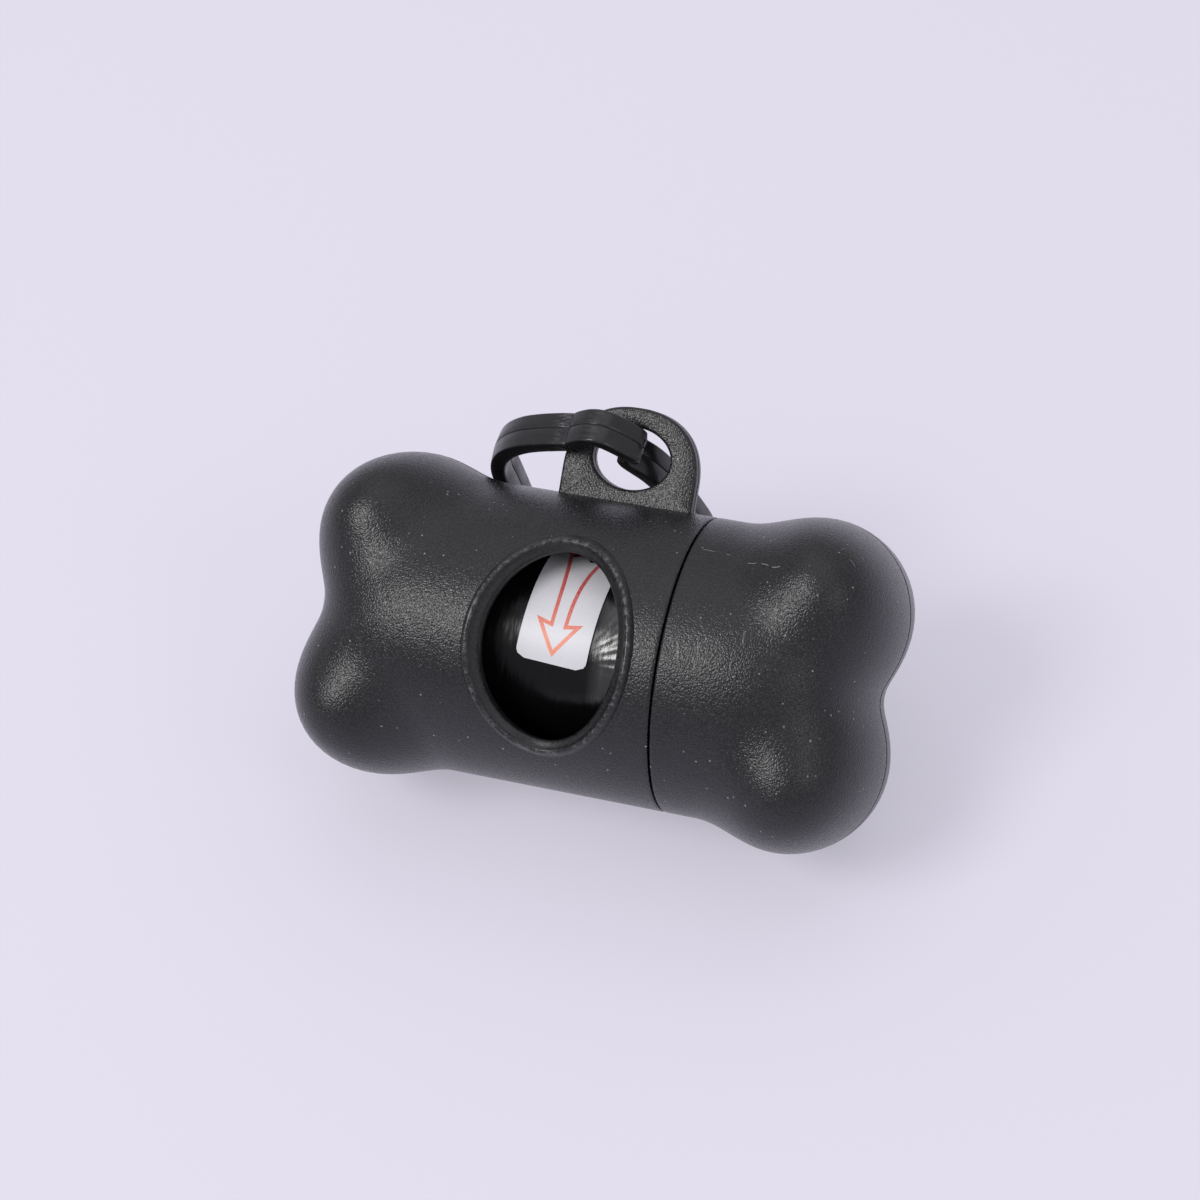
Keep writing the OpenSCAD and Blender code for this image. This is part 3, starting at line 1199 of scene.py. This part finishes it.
@dataclass
class DispenserBody(SubAssembly):
    """The long part of the bone: two halves with the lug, the rim and the neck."""

    skin: BoneSkin = field(default_factory=BoneSkin)
    seam: Seam = field(default_factory=Seam)
    lug: Lug = field(default_factory=Lug)
    body_short: float = 0.7
    window_x: float = -1.5
    window_a: float = 9.0
    window_c: float = 12.0
    rim_w: float = 2.25
    rim_proud: float = 0.7
    rim_steps: int = 240
    crest_at: float = 1.55
    crest_spread: float = 0.28
    neck_bore_r: float = 15.4
    neck_r: float = 16.6
    neck_reach: float = 8.6

    def oval(self, grow: float, count: int) -> tuple[np.ndarray, np.ndarray]:
        """Window outline moved outwards.

        Args:
            grow: Distance moved outwards.
            count: Number of points.
        Returns:
            x and z of the points.
        """
        at = evenly_round(count)
        x, z = self.window_a * np.cos(at), self.window_c * np.sin(at)
        nx, nz = np.cos(at) / self.window_a, np.sin(at) / self.window_c
        size = np.hypot(nx, nz)
        return x + grow * nx / size + self.window_x, z + grow * nz / size

    def window_cutter(self) -> Thing:
        """Oval prism that opens the front half under the rim's lip.

        Returns:
            The cutting tool.
        """
        x, z = self.oval(self.rim_w * 0.55, 128)
        maker = MeshMaker()
        for y in (-5.0, -26.0):
            maker.add_points(rows(x, y, z))
        n = len(x)
        maker.add_grid(0, 2, n, close_cols=True)
        maker.add_lid(range(n))
        maker.add_lid(range(2 * n - 1, n - 1, -1))
        return maker.build("window_cutter", self.stance)

    def rim(self) -> Thing:
        """Bezel with a rolled crest at its outer edge and a slope into the window.

        Returns:
            The closed piece.
        """
        w, p = self.rim_w, self.rim_proud
        profile = [(0.02, -1.9), (0.0, -1.2), (0.0, -0.8), (0.05, -0.62), (0.18, -0.44),
                   (0.42, -0.24), (0.7, -0.02), (0.95, 0.2), (1.12, 0.4), (1.26, 0.56),
                   (1.4, p - 0.03), (1.55, p), (1.7, p - 0.02), (1.84, p - 0.1), (1.98, p - 0.25),
                   (2.1, p - 0.45), (2.2, 0.1), (w, -0.02), (2.3, -0.15),
                   (1.15, -0.2), (1.13, -0.8), (1.1, -1.85), (0.55, -1.95)]
        maker = MeshMaker()
        crest: list[float] = []
        for grow, height in profile:
            x, z = self.oval(grow, self.rim_steps)
            maker.add_points(rows(x, -np.sqrt((self.skin.barrel_r + height) ** 2 - z**2), z))
            # Crest band that the finish paints paler: a painted highlight along the crest, with
            # scuffs.
            off = (grow - self.crest_at) / self.crest_spread
            crest.extend([math.exp(-(off**2)) if height > 0.3 else 0.0] * self.rim_steps)
        maker.add_grid(0, len(profile), self.rim_steps, close_cols=True, close_rows=True)
        bezel = maker.build("window_bezel", self.stance, smooth_deg=50.0)
        mark_points(bezel, "crest", crest)
        return bezel

    def neck(self) -> Thing:
        """Turned neck with its flange in the body, a grip bead and soft edges.

        Returns:
            The closed piece.
        """
        start = self.window_x + self.window_a + self.rim_w + 0.2
        end = self.seam.x + self.neck_reach
        step = self.seam.x - self.seam.gap / 2.0 - 0.1
        bead = end - 2.6
        r, bore, fixed = self.neck_r, self.neck_bore_r, self.seam.bore_r
        profile = [(bore + 0.2, start), (fixed, start), (fixed, step), (17.4, step + 0.02),
                   (r + 0.25, step + 0.05), (r, step + 0.3), (r, bead - 0.9)]
        for degrees in range(-90, 91, 15):
            out, along = cos_sin(degrees)
            profile.append((r + 0.4 * out, bead + 0.7 * along))
        profile += [(r, bead + 0.9), (r, end - 0.6), (r - 0.15, end - 0.2), (r - 0.45, end),
                    (bore + 0.25, end), (bore, end - 0.25), (bore, start + 0.2)]
        return turned("neck_tube", profile, self.stance, self.seam.steps)

    def build(self) -> None:
        """Build, dress and hand in the body's pieces."""
        shell = HalfShell(self.skin, -(self.seam.x - self.seam.gap / 2.0),
                          1.0 + self.body_short / self.skin.lobe_x)
        for side, name in ((Side.FRONT, "body_front"), (Side.REAR, "body_rear")):
            half = shell.build(name + "_half", self.stance, -1.0, side)
            if side is Side.FRONT:
                combine(half, self.window_cutter(), Join.CUT)
            combine(half, self.lug.build(name + "_lug", self.stance, side), Join.ADD)
            shade(half, smooth_deg=40.0)
            hand_in(half, Body.SHELL, (name + "_shell",), "shell_plastic", self.finishes.shell)
        hand_in(self.rim(), Body.SHELL, ("window_rim",), "rim_plastic", self.finishes.rim)
        hand_in(self.neck(), Body.SHELL, ("neck_sleeve",), "neck_plastic", self.finishes.smooth)


def turned(name: str, profile: list[tuple[float, float]], stance: Stance,
           count: int) -> Thing:
    """Turn a closed profile of (radius, x) about the roll's axis.

    Args:
        name: Name of the piece.
        profile: Closed outline.
        stance: Where the bone stands.
        count: Steps round the axis.
    Returns:
        The turned piece.
    """
    maker = MeshMaker()
    for r, x in profile:
        maker.add_points(around(x, r, evenly_round(count)))
    maker.add_grid(0, len(profile), count, close_cols=True, close_rows=True)
    return maker.build(name, stance, smooth_deg=35.0)


@dataclass
class EndCap(SubAssembly):
    """The pull-off end: two halves and the liner ring that grips the neck."""

    skin: BoneSkin = field(default_factory=BoneSkin)
    seam: Seam = field(default_factory=Seam)
    liner_r: float = 17.05
    liner_len: float = 7.7

    def liner(self) -> Thing:
        """Turned ring with a lead-in at its mouth.

        Returns:
            The closed piece.
        """
        start = self.seam.x + self.seam.gap / 2.0 + 0.2
        end = start + self.liner_len
        r, fixed = self.liner_r, self.seam.bore_r
        profile = [(r + 0.5, start), (fixed, start), (fixed, start + 2.4), (17.75, start + 2.45),
                   (17.75, end - 0.2), (17.6, end), (r + 0.15, end), (r, end - 0.15),
                   (r, start + 0.6), (r + 0.12, start + 0.3)]
        return turned("liner_tube", profile, self.stance, self.seam.steps)

    def build(self) -> None:
        """Build, dress and hand in the cap's pieces."""
        shell = HalfShell(self.skin, self.seam.x + self.seam.gap / 2.0)
        for side, name in ((Side.FRONT, "cap_front"), (Side.REAR, "cap_rear")):
            half = shell.build(name + "_half", self.stance, 1.0, side)
            hand_in(half, Body.CAP, (name + "_shell",), "shell_plastic", self.finishes.cap)
        hand_in(self.liner(), Body.CAP, ("cap_liner_ring",), "neck_plastic", self.finishes.smooth)


# --------------------------------------------------------------------------
# roll
# --------------------------------------------------------------------------


@dataclass
class BagRoll(SubAssembly):
    """Film wound on a board tube, with the sticker on its outer turn."""

    radius: float = 13.8
    length: float = 57.0
    middle_x: float = -1.5
    core_r: float = 7.0
    core_t: float = 1.1
    core_steps: int = 96
    turns: int = 16
    turn_rise: float = 0.16
    turn_jog: float = 0.22
    film_steps: int = 240
    film_rings: int = 116
    fold_deep: float = 0.10
    wrinkle_deep: float = 0.05
    slack_deep: float = 0.42
    fan_deep: float = 0.16
    fan_x: float = 5.5
    fan_deg: float = 14.0
    spokes: float = 23.0
    label_w: float = 9.5
    label_low: float = -2.45
    label_high: float = 16.7
    label_x: float = -2.0
    label_lean: float = 0.061
    label_thick: float = 0.09
    corner: float = 1.25
    arrow_x: float = -2.28
    arrow_low: float = -1.5
    arrow_lifts: tuple[float, float] = (0.088, 0.1)
    stroke: float = 0.5

    def film(self) -> Thing:
        """Wound film: spiral steps on both ends and drawn creases outside.

        Returns:
            The closed piece.
        """
        at = evenly_round(self.film_steps)
        pitch = (self.radius - self.core_r) / self.turns
        radial = np.linspace(self.core_r, self.radius - 0.02, self.turns * 4 + 1)
        low, high = self.middle_x - self.length / 2.0, self.middle_x + self.length / 2.0
        jogs = np.random.default_rng(11).uniform(-self.turn_jog, self.turn_jog, self.turns + 3)

        def end_face(x: float, way: float) -> list[np.ndarray]:
            """Rings of one end, from the tube outwards.

            Args:
                x: Place of the end.
                way: Sign of its outward direction.
            Returns:
                The rings.
            """
            rings = []
            for r in radial:
                wound = (r - self.core_r) / pitch - at / FULL_TURN + 1.0
                whole = np.floor(wound).astype(int)
                ridge = self.turn_rise * np.sin(np.pi * np.clip(wound - whole, 0.0, 1.0)) ** 0.6
                jog = jogs[np.clip(whole, 0, self.turns + 2)]
                edge = np.clip((self.radius - r) / 0.6, 0.0, 1.0)
                rings.append(around(x + way * (ridge + jog - 0.3) * edge, r, at))
            return rings

        rings = end_face(low, -1.0)
        xs = np.linspace(low + 0.25, high - 0.25, self.film_rings)
        rings += [self.outside(x, at) for x in xs]
        rings += reversed(end_face(high, 1.0))
        maker = MeshMaker()
        for ring in rings:
            maker.add_points(ring)
        maker.add_grid(0, len(rings), self.film_steps, close_cols=True, close_rows=True)
        return maker.build("film_roll", self.stance, smooth_deg=50.0)

    def outside(self, x: float, at: np.ndarray) -> np.ndarray:
        """One ring of the outer turn: long folds, fine wrinkles, slack, and a fan of creases.

        Args:
            x: Place along the roll.
            at: Angles round the axis, zero at the front.
        Returns:
            Ring of points.
        """
        depth = np.zeros(len(at))
        slack = self.slack_deep * min(max((x + 12.0) / 5.0, 0.0), 1.0)
        for k, a in enumerate(at):
            deg = math.degrees(a if a < math.pi else a - FULL_TURN)
            fold = noise.noise(Vector((x * 0.10, math.cos(a) * 2.2, math.sin(a) * 2.2)))
            wrinkle = noise.noise(Vector((x * 0.9, math.cos(a) * 3.0 + 7.0, math.sin(a) * 3.0)))
            fan = math.exp(-(((x - self.fan_x) / 3.4) ** 2) - ((deg - self.fan_deg) / 26.0) ** 2)
            spoke = math.atan2(deg * 0.255 + 1.5, x - 1.0)
            depth[k] = self.fold_deep * abs(fold) + self.wrinkle_deep * abs(wrinkle)
            depth[k] += slack * math.exp(-((deg / 60.0) ** 2))
            depth[k] += self.fan_deep * fan * (0.5 + 0.5 * math.sin(spoke * self.spokes))
        return around(x, self.radius + 0.3 - depth, at)

    def on_roll(self, x: np.ndarray, s: np.ndarray, lift: float) -> np.ndarray:
        """Wrap flat label coordinates onto the roll.

        Args:
            x: Along the roll.
            s: Along the film, zero at the front.
            lift: Height above the film.
        Returns:
            Bone-frame points.
        """
        return around(x, self.radius + lift, s / self.radius)

    def label_base(self) -> Thing:
        """Sticker with rounded corners, wrapped round the film.

        Returns:
            The closed piece.
        """
        lines, cols, middle = 44, 16, 3.7
        maker = MeshMaker()
        for lift in (0.0, self.label_thick):
            for s in np.linspace(self.label_low, self.label_high, lines):
                into = max(self.corner - min(s - self.label_low, self.label_high - s), 0.0)
                cut = self.corner - math.sqrt(max(self.corner**2 - into**2, 0.0))
                half = self.label_w / 2.0 - cut
                x = np.linspace(-half, half, cols) + self.label_x
                x = x + self.label_lean * (s - middle)
                maker.add_points(self.on_roll(x, s - self.label_lean * (x - self.label_x), lift))
        top = lines * cols
        maker.add_grid(0, lines, cols)
        maker.add_grid(top, lines, cols)
        loop = list(range(cols)) + [i * cols + cols - 1 for i in range(1, lines)]
        loop += [(lines - 1) * cols + j for j in range(cols - 2, -1, -1)]
        loop += [i * cols for i in range(lines - 2, 0, -1)]
        maker.add_band(loop, [k + top for k in loop], closed=True)
        return maker.build("roll_sticker", self.stance, smooth_deg=40.0)

    def arrow(self) -> tuple[np.ndarray, np.ndarray]:
        """Outlines of the arrow, flat, tip at the origin.

        Returns:
            Outer and inner outline as rows.
        """
        right = [(0.0, 0.0), (3.18, 4.78), (1.2, 4.36), (1.24, 7.0), (1.42, 9.5), (1.8, 12.0),
                 (2.6, 15.6)]
        outer = np.array(right + [(-x, y) for x, y in right[:0:-1]])
        inner = []
        for k, here in enumerate(outer):
            before, after = outer[k - 1], outer[(k + 1) % len(outer)]
            d1 = (here - before) / np.linalg.norm(here - before)
            d2 = (after - here) / np.linalg.norm(after - here)
            n1, n2 = np.array([-d1[1], d1[0]]), np.array([-d2[1], d2[0]])
            inner.append(here + (n1 + n2) / max(1.0 + n1 @ n2, 0.25) * self.stroke)
        return outer, np.array(inner)

    def label_print(self) -> Thing:
        """Printed outline arrow, a thin skin over the sticker.

        Returns:
            The closed piece.
        """
        outline = self.arrow()
        maker = MeshMaker()
        along: list[float] = []
        per_side, paled_by = 14, 9.0
        for lift in self.arrow_lifts:
            for edge in outline:
                flat = []
                for a, b in zip(edge, np.roll(edge, -1, axis=0)):
                    flat.extend(a + (b - a) * i / per_side for i in range(per_side))
                across, up = np.array(flat).T
                x = across + self.arrow_x + self.label_lean * up
                s = up + self.arrow_low - self.label_lean * across
                maker.add_points(self.on_roll(x, s, lift))
                along.extend(np.clip(up / paled_by, 0.0, 1.0))
        n = len(outline[0]) * per_side
        for a, b in ((0, n), (n, 3 * n), (3 * n, 2 * n), (2 * n, 0)):
            maker.add_band(range(a, a + n), range(b, b + n), closed=True)
        obj = maker.build("arrow_print", self.stance, smooth_deg=40.0)
        mark_points(obj, "along", along)
        return obj

    def core(self) -> Thing:
        """Board tube with its turned-in ends.

        Returns:
            The closed piece.
        """
        r, inner = self.core_r - 0.03, self.core_r - self.core_t
        reach = self.length / 2.0 + 0.5
        low, high = self.middle_x - reach, self.middle_x + reach
        profile = [(inner + 0.12, low), (r - 0.15, low), (r, low + 0.15), (r, high - 0.15),
                   (r - 0.15, high), (inner + 0.12, high), (inner, high - 0.12),
                   (inner, low + 0.12)]
        return turned("board_tube", profile, self.stance, self.core_steps)

    def core_seam(self) -> Thing:
        """Spiral lap of the board inside the tube, made by Geometry Nodes."""
        return SpiralLap(self.stance, self.middle_x, self.length + 0.4,
                         self.core_r - self.core_t - 0.03).build("board_lap", self.finishes.board)

    def build(self) -> None:
        """Build, dress and hand in the roll's pieces."""
        hand_in(self.film(), Body.ROLL, ("bag_roll",), "bag_film", self.finishes.film)
        hand_in(self.core(), Body.ROLL, ("roll_core",), "core_board", self.finishes.board)
        hand_in(self.core_seam(), Body.ROLL, (), "core_board", self.finishes.board)
        hand_in(self.label_base(), Body.ROLL, ("start_label",), "sticker", self.finishes.paper)
        hand_in(self.label_print(), Body.ROLL, (), "sticker", self.finishes.ink)


@dataclass(frozen=True)
class SpiralLap:
    """Raised spiral lap on the inside of a tube, grown by a node tree."""

    stance: Stance
    middle_x: float
    length: float
    radius: float
    rounds: float = 3.0
    width: float = 0.5
    thick_share: float = 0.25
    steps: int = 48
    sides: int = 6

    def tree(self, material: Material) -> tuple[bpy.types.NodeTree, dict[str, str]]:
        """Node tree with named inputs for the lap's sizes.

        Args:
            material: Finish set on the result.
        Returns:
            The tree and the identifier of each named input.
        """
        tree = bpy.data.node_groups.new("spiral_lap", "GeometryNodeTree")
        ids = {}
        new_socket = tree.interface.new_socket
        for name in ("Rounds", "Length", "Radius", "Width"):
            entry = new_socket(name=name, in_out="INPUT", socket_type="NodeSocketFloat")
            ids[name] = entry.identifier
        new_socket(name="Geometry", in_out="OUTPUT", socket_type="NodeSocketGeometry")
        kinds = ("NodeGroupInput", "NodeGroupOutput", "GeometryNodeCurveSpiral",
                 "GeometryNodeCurvePrimitiveCircle", "ShaderNodeMath", "GeometryNodeCurveToMesh",
                 "GeometryNodeRealizeInstances", "GeometryNodeSetMaterial")
        source, sink, spiral, outline, share, sweep, real, paint = map(tree.nodes.new, kinds)
        spiral.inputs["Resolution"].default_value = self.steps
        outline.inputs["Resolution"].default_value = self.sides
        share.operation = "MULTIPLY"
        share.inputs[1].default_value = self.thick_share
        sweep.inputs["Fill Caps"].default_value = True
        paint.inputs["Material"].default_value = material
        for start, end in ((source.outputs["Rounds"], spiral.inputs["Rotations"]),
                           (source.outputs["Length"], spiral.inputs["Height"]),
                           (source.outputs["Radius"], spiral.inputs["Start Radius"]),
                           (source.outputs["Radius"], spiral.inputs["End Radius"]),
                           (source.outputs["Width"], share.inputs[0]),
                           (share.outputs[0], outline.inputs["Radius"]),
                           (spiral.outputs[0], sweep.inputs["Curve"]),
                           (outline.outputs[0], sweep.inputs["Profile Curve"]),
                           (sweep.outputs[0], real.inputs[0]),
                           (real.outputs[0], paint.inputs["Geometry"]),
                           (paint.outputs[0], sink.inputs[0])):
            tree.links.new(start, end)
        return tree, ids

    def build(self, name: str, material: Material) -> Thing:
        """Grow the lap and place it in the standing frame.

        Args:
            name: Name of the piece.
            material: Its finish.
        Returns:
            A plain mesh object.
        """
        obj = bpy.data.objects.new(name, bpy.data.meshes.new(name))
        bpy.context.scene.collection.objects.link(obj)
        grow = obj.modifiers.new("lap", "NODES")
        tree, ids = self.tree(material)
        grow.node_group = tree
        sizes = {"Rounds": self.rounds, "Length": self.length, "Radius": self.radius,
                 "Width": self.width}
        for key, value in sizes.items():
            grow[ids[key]] = float(value)
        applied(obj)
        raw = np.array([v.co[:] for v in obj.data.vertices])
        local = rows(raw[:, 2] + self.middle_x - self.length / 2.0, raw[:, 0], raw[:, 1])
        for vertex, place in zip(obj.data.vertices, self.stance.place(local)):
            vertex.co = place
        obj.data.update()
        shade(obj, smooth_deg=60.0)
        return obj


# --------------------------------------------------------------------------
# clip
# --------------------------------------------------------------------------


@dataclass
class SpringClip(SubAssembly):
    """Moulded clip: a flat band bent into a loop, and its springy gate."""

    plane: ClipPlane = field(default_factory=ClipPlane)
    width: float = 4.85
    band: float = 2.45
    rounding: float = 0.3
    draft: float = 0.17
    half: float = 13.2
    middle: float = -6.75
    turn_v: float = 25.947
    crease: tuple[float, float] = (-7.55, -4.52)
    crease_way: tuple[float, float] = (0.94, -0.34)
    crease_gap: float = 0.07
    pale_until: float = -2.0
    rub_u: float = -8.6
    # Place of the painted highlight on the bump.
    bump_u: float = -4.0
    pale_width: float = 0.8
    torn_from: float = 0.95
    torn_over: float = 0.4
    ragged: float = 0.35
    ragged_rows: int = 3

    @staticmethod
    def smooth(keys: list[Triple], steps: int) -> np.ndarray:
        """Smooth curve through key points.

        Args:
            keys: Rows of u, v and thickness.
            steps: Points for each span.
        Returns:
            Denser rows.
        """
        k = np.array(keys, dtype=float)
        out = []
        for i in range(len(k) - 1):
            a, b, c, d = k[max(i - 1, 0)], k[i], k[i + 1], k[min(i + 2, len(k) - 1)]
            for j in range(steps):
                t = j / steps
                out.append(0.5 * (2 * b + (c - a) * t + (2 * a - 5 * b + 4 * c - d) * t * t
                                  + (3 * b - a - 3 * c + d) * t**3))
        out.append(k[-1])
        return np.array(out)

    def section(self, thick: float) -> list[tuple[float, float]]:
        """Band section: rounded corners, draft on both faces, a parting line.

        Args:
            thick: Thickness at the parting line.
        Returns:
            Points once round.
        """
        h, w, r = thick / 2.0, self.width / 2.0, min(self.rounding, thick * 0.3)
        slope = self.draft
        quarter = [(h - 0.14, 0.0), (h - 0.05, 0.07), (h - 0.005, 0.15), (h - slope * 0.5, w * 0.5)]
        for degrees in (0.0, 22.5, 45.0, 67.5, 90.0):
            c, s = cos_sin(degrees)
            quarter.append((h - slope - r + r * c, w - r + r * s))
        upper = quarter + [(-x, y) for x, y in quarter[::-1]]
        return upper + [(x, -y) for x, y in upper[-2:0:-1]]

    def sweep(self, name: str, path: np.ndarray, ragged: float = 0.0) -> Thing:
        """Sweep the band along a path in the clip's plane.

        Args:
            name: Name of the piece.
            path: Rows of u, v and thickness.
            ragged: Unevenness of the last section.
        Returns:
            The closed band.
        """
        maker = MeshMaker()
        along = np.gradient(path[:, :2], axis=0)
        along /= np.linalg.norm(along, axis=1, keepdims=True)
        along[0] = np.array(self.crease_way) / np.linalg.norm(self.crease_way)
        n, count = len(path), len(self.section(self.band))
        wear: list[float] = []
        for i, (u, v, thick) in enumerate(path):
            hu, hv = along[i]
            ring = []
            torn = ragged * max(i - n + self.ragged_rows, 0)
            for x, y in self.section(thick):
                push = torn * noise.noise(Vector((x * 1.7, y * 1.3, 5.0)))
                ring.append((u - hv * x + hu * push, v + hu * x + hv * push, y))
                wear.append(self.wear_and_highlight_at(u + hu * push, v, y))
            maker.add_points(self.plane.place(np.array(ring)))
        maker.add_grid(0, n, count, close_cols=True)
        maker.add_lid(range(count))
        maker.add_lid(range(n * count - 1, (n - 1) * count - 1, -1))
        band = maker.build(name, self.stance, smooth_deg=40.0)
        # Per-point pale paint: wear, and the painted highlight on the bump.
        mark_points(band, "wear", wear)
        return band

    def wear_and_highlight_at(self, u: float, v: float, y: float) -> float:
        """How pale the band is painted: rubbed beside the crease, a painted highlight on the bump,
        and worn at the torn tip.

        Args:
            u: Place along the roll.
            v: Place away from the lug's hole.
            y: Place across the band.
        Returns:
            Zero to one.
        """
        if v > self.pale_until:
            return 0.0
        upper = 1.0 if y > 0.0 else 0.3
        beside = 0.7 * upper * math.exp(-(((u - self.rub_u) / self.pale_width) ** 2))
        # Painted highlight along the top of the bump, where it catches the light.
        bump = 0.15 * math.exp(-(((u - self.bump_u) / self.pale_width) ** 2))
        tip = min(max((u - self.torn_from) / self.torn_over, 0.0), 1.0)
        return min(beside + bump + tip, 1.0)

    def frame_path(self) -> np.ndarray:
        """The frame's band from the crease round the back to the nose.

        Returns:
            Rows of u, v and thickness.
        """
        t, left, right = self.band, self.middle - self.half, self.middle + self.half
        cu, cv = self.crease
        gu = self.crease_gap / 2.0
        front = [(cu - gu * 0.9, cv + gu * 0.34, 1.85), (-7.95, -4.42, 2.3), (-9.9, -3.8, t),
                 (-12.6, -2.75, t), (-15.2, -1.3, 2.5), (-17.5, 0.85, 2.5), (-19.2, 3.8, t),
                 (left - 0.05, 7.6, t), (left, 12.0, t), (left, self.turn_v, t)]
        back = []
        for degrees in range(4, 180, 4):
            c, s = cos_sin(degrees)
            back.append((self.middle - self.half * c, self.turn_v + self.half * s, t))
        bar = [(right, self.turn_v, t), (right, 19.0, t), (5.85, 15.4, t), (5.05, 11.5, 2.3),
               (4.3, 7.5, 2.2), (3.3, 3.6, 2.2), (2.05, 1.1, 2.2), (0.75, -0.5, 2.1),
               (-0.2, -1.6, 1.9), (-0.55, -2.35, 1.75), (-0.65, -2.85, 1.6), (-0.68, -3.0, 1.2)]
        return np.concatenate([self.smooth(front, 9), np.array(back), self.smooth(bar, 7)])

    def gate_path(self) -> np.ndarray:
        """The gate's band from the crease over the bump to the hooked tip.

        Returns:
            Rows of u, v and thickness.
        """
        cu, cv = self.crease
        gu = self.crease_gap / 2.0
        keys = [(cu + gu * 0.9, cv - gu * 0.34, 1.85), (-7.05, -5.02, 2.2), (-6.1, -5.8, 2.2),
                (-5.0, -6.5, 2.1), (-3.8, -6.78, 2.0), (-2.6, -6.45, 2.0), (-1.4, -5.65, 2.0),
                (-0.4, -4.75, 1.95), (0.5, -3.9, 1.85), (1.1, -3.2, 1.6), (1.35, -2.7, 1.3)]
        return self.smooth(keys, 8)

    def build(self) -> None:
        """Build, dress and hand in the clip's two pieces."""
        loop = self.sweep("clip_loop", self.frame_path())
        hand_in(loop, Body.CLIP, ("clip_frame",), "clip_plastic", self.finishes.clip)
        tongue = self.sweep("clip_tongue", self.gate_path(), self.ragged)
        hand_in(tongue, Body.GATE, ("clip_gate",), "clip_plastic", self.finishes.clip)


# --------------------------------------------------------------------------
# studio
# --------------------------------------------------------------------------


@dataclass(frozen=True)
class Softbox:
    """Square soft light that looks at the object; degrees run from the front towards +x."""

    name: str
    azimuth: float
    elevation: float
    distance: float
    size: float
    watts: float
    tint: Triple
    aim: Triple = (0.0, 0.0, 0.02)

    def place(self) -> None:
        """Put the light in the scene."""
        data = bpy.data.lights.new(self.name, "AREA")
        data.shape = "RECTANGLE"
        data.size = self.size
        data.size_y = self.size
        data.energy = self.watts
        data.color = self.tint
        obj = bpy.data.objects.new(self.name, data)
        ca, sa = cos_sin(self.azimuth)
        ce, se = cos_sin(self.elevation)
        away = Vector((sa * ce, -ca * ce, se))
        obj.location = away * self.distance + Vector(self.aim)
        obj.rotation_euler = away.to_track_quat("Z", "Y").to_euler()
        bpy.context.scene.collection.objects.link(obj)


LIGHTS = (
    Softbox("key_softbox", -38.7, 50.7, 1.39, 0.5, 8.6, (1.0, 0.99, 0.98)),
    Softbox("side_softbox", 66.0, 41.0, 1.4, 0.4, 1.3, (0.98, 0.99, 1.0)),
    Softbox("top_softbox", 180.0, 76.0, 1.6, 1.7, 4.8, (0.96, 0.97, 1.0)),
)


@dataclass
class Studio:
    """Floor, soft lights, room light and camera."""

    stance: Stance
    floor_reach_mm: float = 1500.0
    room_tint: Colour = (0.86, 0.86, 0.92, 1.0)
    room_strength: float = 0.6
    view: PhotoView = field(default_factory=PhotoView)
    sensor_mm: float = 36.0

    def camera(self) -> None:
        """Camera at the photograph's view, from its fitted place in the bone's frame."""
        turn = self.stance.turn()
        right = turn @ np.array(self.view.right)
        up = turn @ np.array(self.view.up)
        back = np.cross(right, up)
        eye = self.stance.place(np.array([self.view.eye]))[0]
        data = bpy.data.cameras.new("camera")
        data.sensor_width = self.sensor_mm
        data.lens = self.view.focal_px / self.view.frame_px * self.sensor_mm
        data.clip_start = 0.01
        data.clip_end = 20.0
        obj = bpy.data.objects.new("camera", data)
        matrix = Matrix.Identity(4)
        for axis, column in enumerate((right, up, back)):
            for row in range(3):
                matrix[row][axis] = float(column[row])
        for row in range(3):
            matrix[row][3] = float(eye[row])
        obj.matrix_world = matrix
        bpy.context.scene.collection.objects.link(obj)
        bpy.context.scene.camera = obj

    def floor(self) -> None:
        """Wide paper sheet under the object."""
        ticks = np.array(graded((-self.floor_reach_mm, self.floor_reach_mm, 12)))
        maker = MeshMaker()
        maker.add_points(rows(ticks[None, :], ticks[:, None], 0.0))
        maker.add_grid(0, len(ticks), len(ticks))
        obj = maker.build("studio_floor", Stance(lean_deg=0.0), smooth_deg=30.0)
        if obj.data.polygons[0].normal.z < 0.0:
            obj.data.flip_normals()
        obj.data.materials.append(StudioPaper().make())

    def world(self) -> None:
        """Even pale room light."""
        world = bpy.data.worlds.new("room")
        world.use_nodes = True
        sky = world.node_tree.nodes["Background"]
        sky.inputs["Color"].default_value = self.room_tint
        sky.inputs["Strength"].default_value = self.room_strength
        bpy.context.scene.world = world

    def build(self) -> None:
        """Set up the whole studio."""
        self.camera()
        self.floor()
        self.world()
        for light in LIGHTS:
            light.place()
        bpy.context.scene.view_settings.view_transform = "Standard"


def axis_place() -> Triple:
    """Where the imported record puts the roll's axis.

    Returns:
        Its place in metres.
    """
    joints = frame["record"]["behaviour"]["joints"]
    spin = next(joint for joint in joints if joint["name"] == "roll_spin")
    return tuple(spin["pos_m"])


def main() -> None:
    """Build every sub-assembly, then the studio."""
    logging.basicConfig(level=logging.INFO, format="%(name)s %(message)s")
    stance = Stance(axis_pos_m=axis_place())
    finishes = Finishes.build(stance)
    DispenserBody(stance, finishes).build()
    EndCap(stance, finishes).build()
    BagRoll(stance, finishes).build()
    SpringClip(stance, finishes).build()
    Studio(stance).build()


if __name__ == "__main__":
    main()
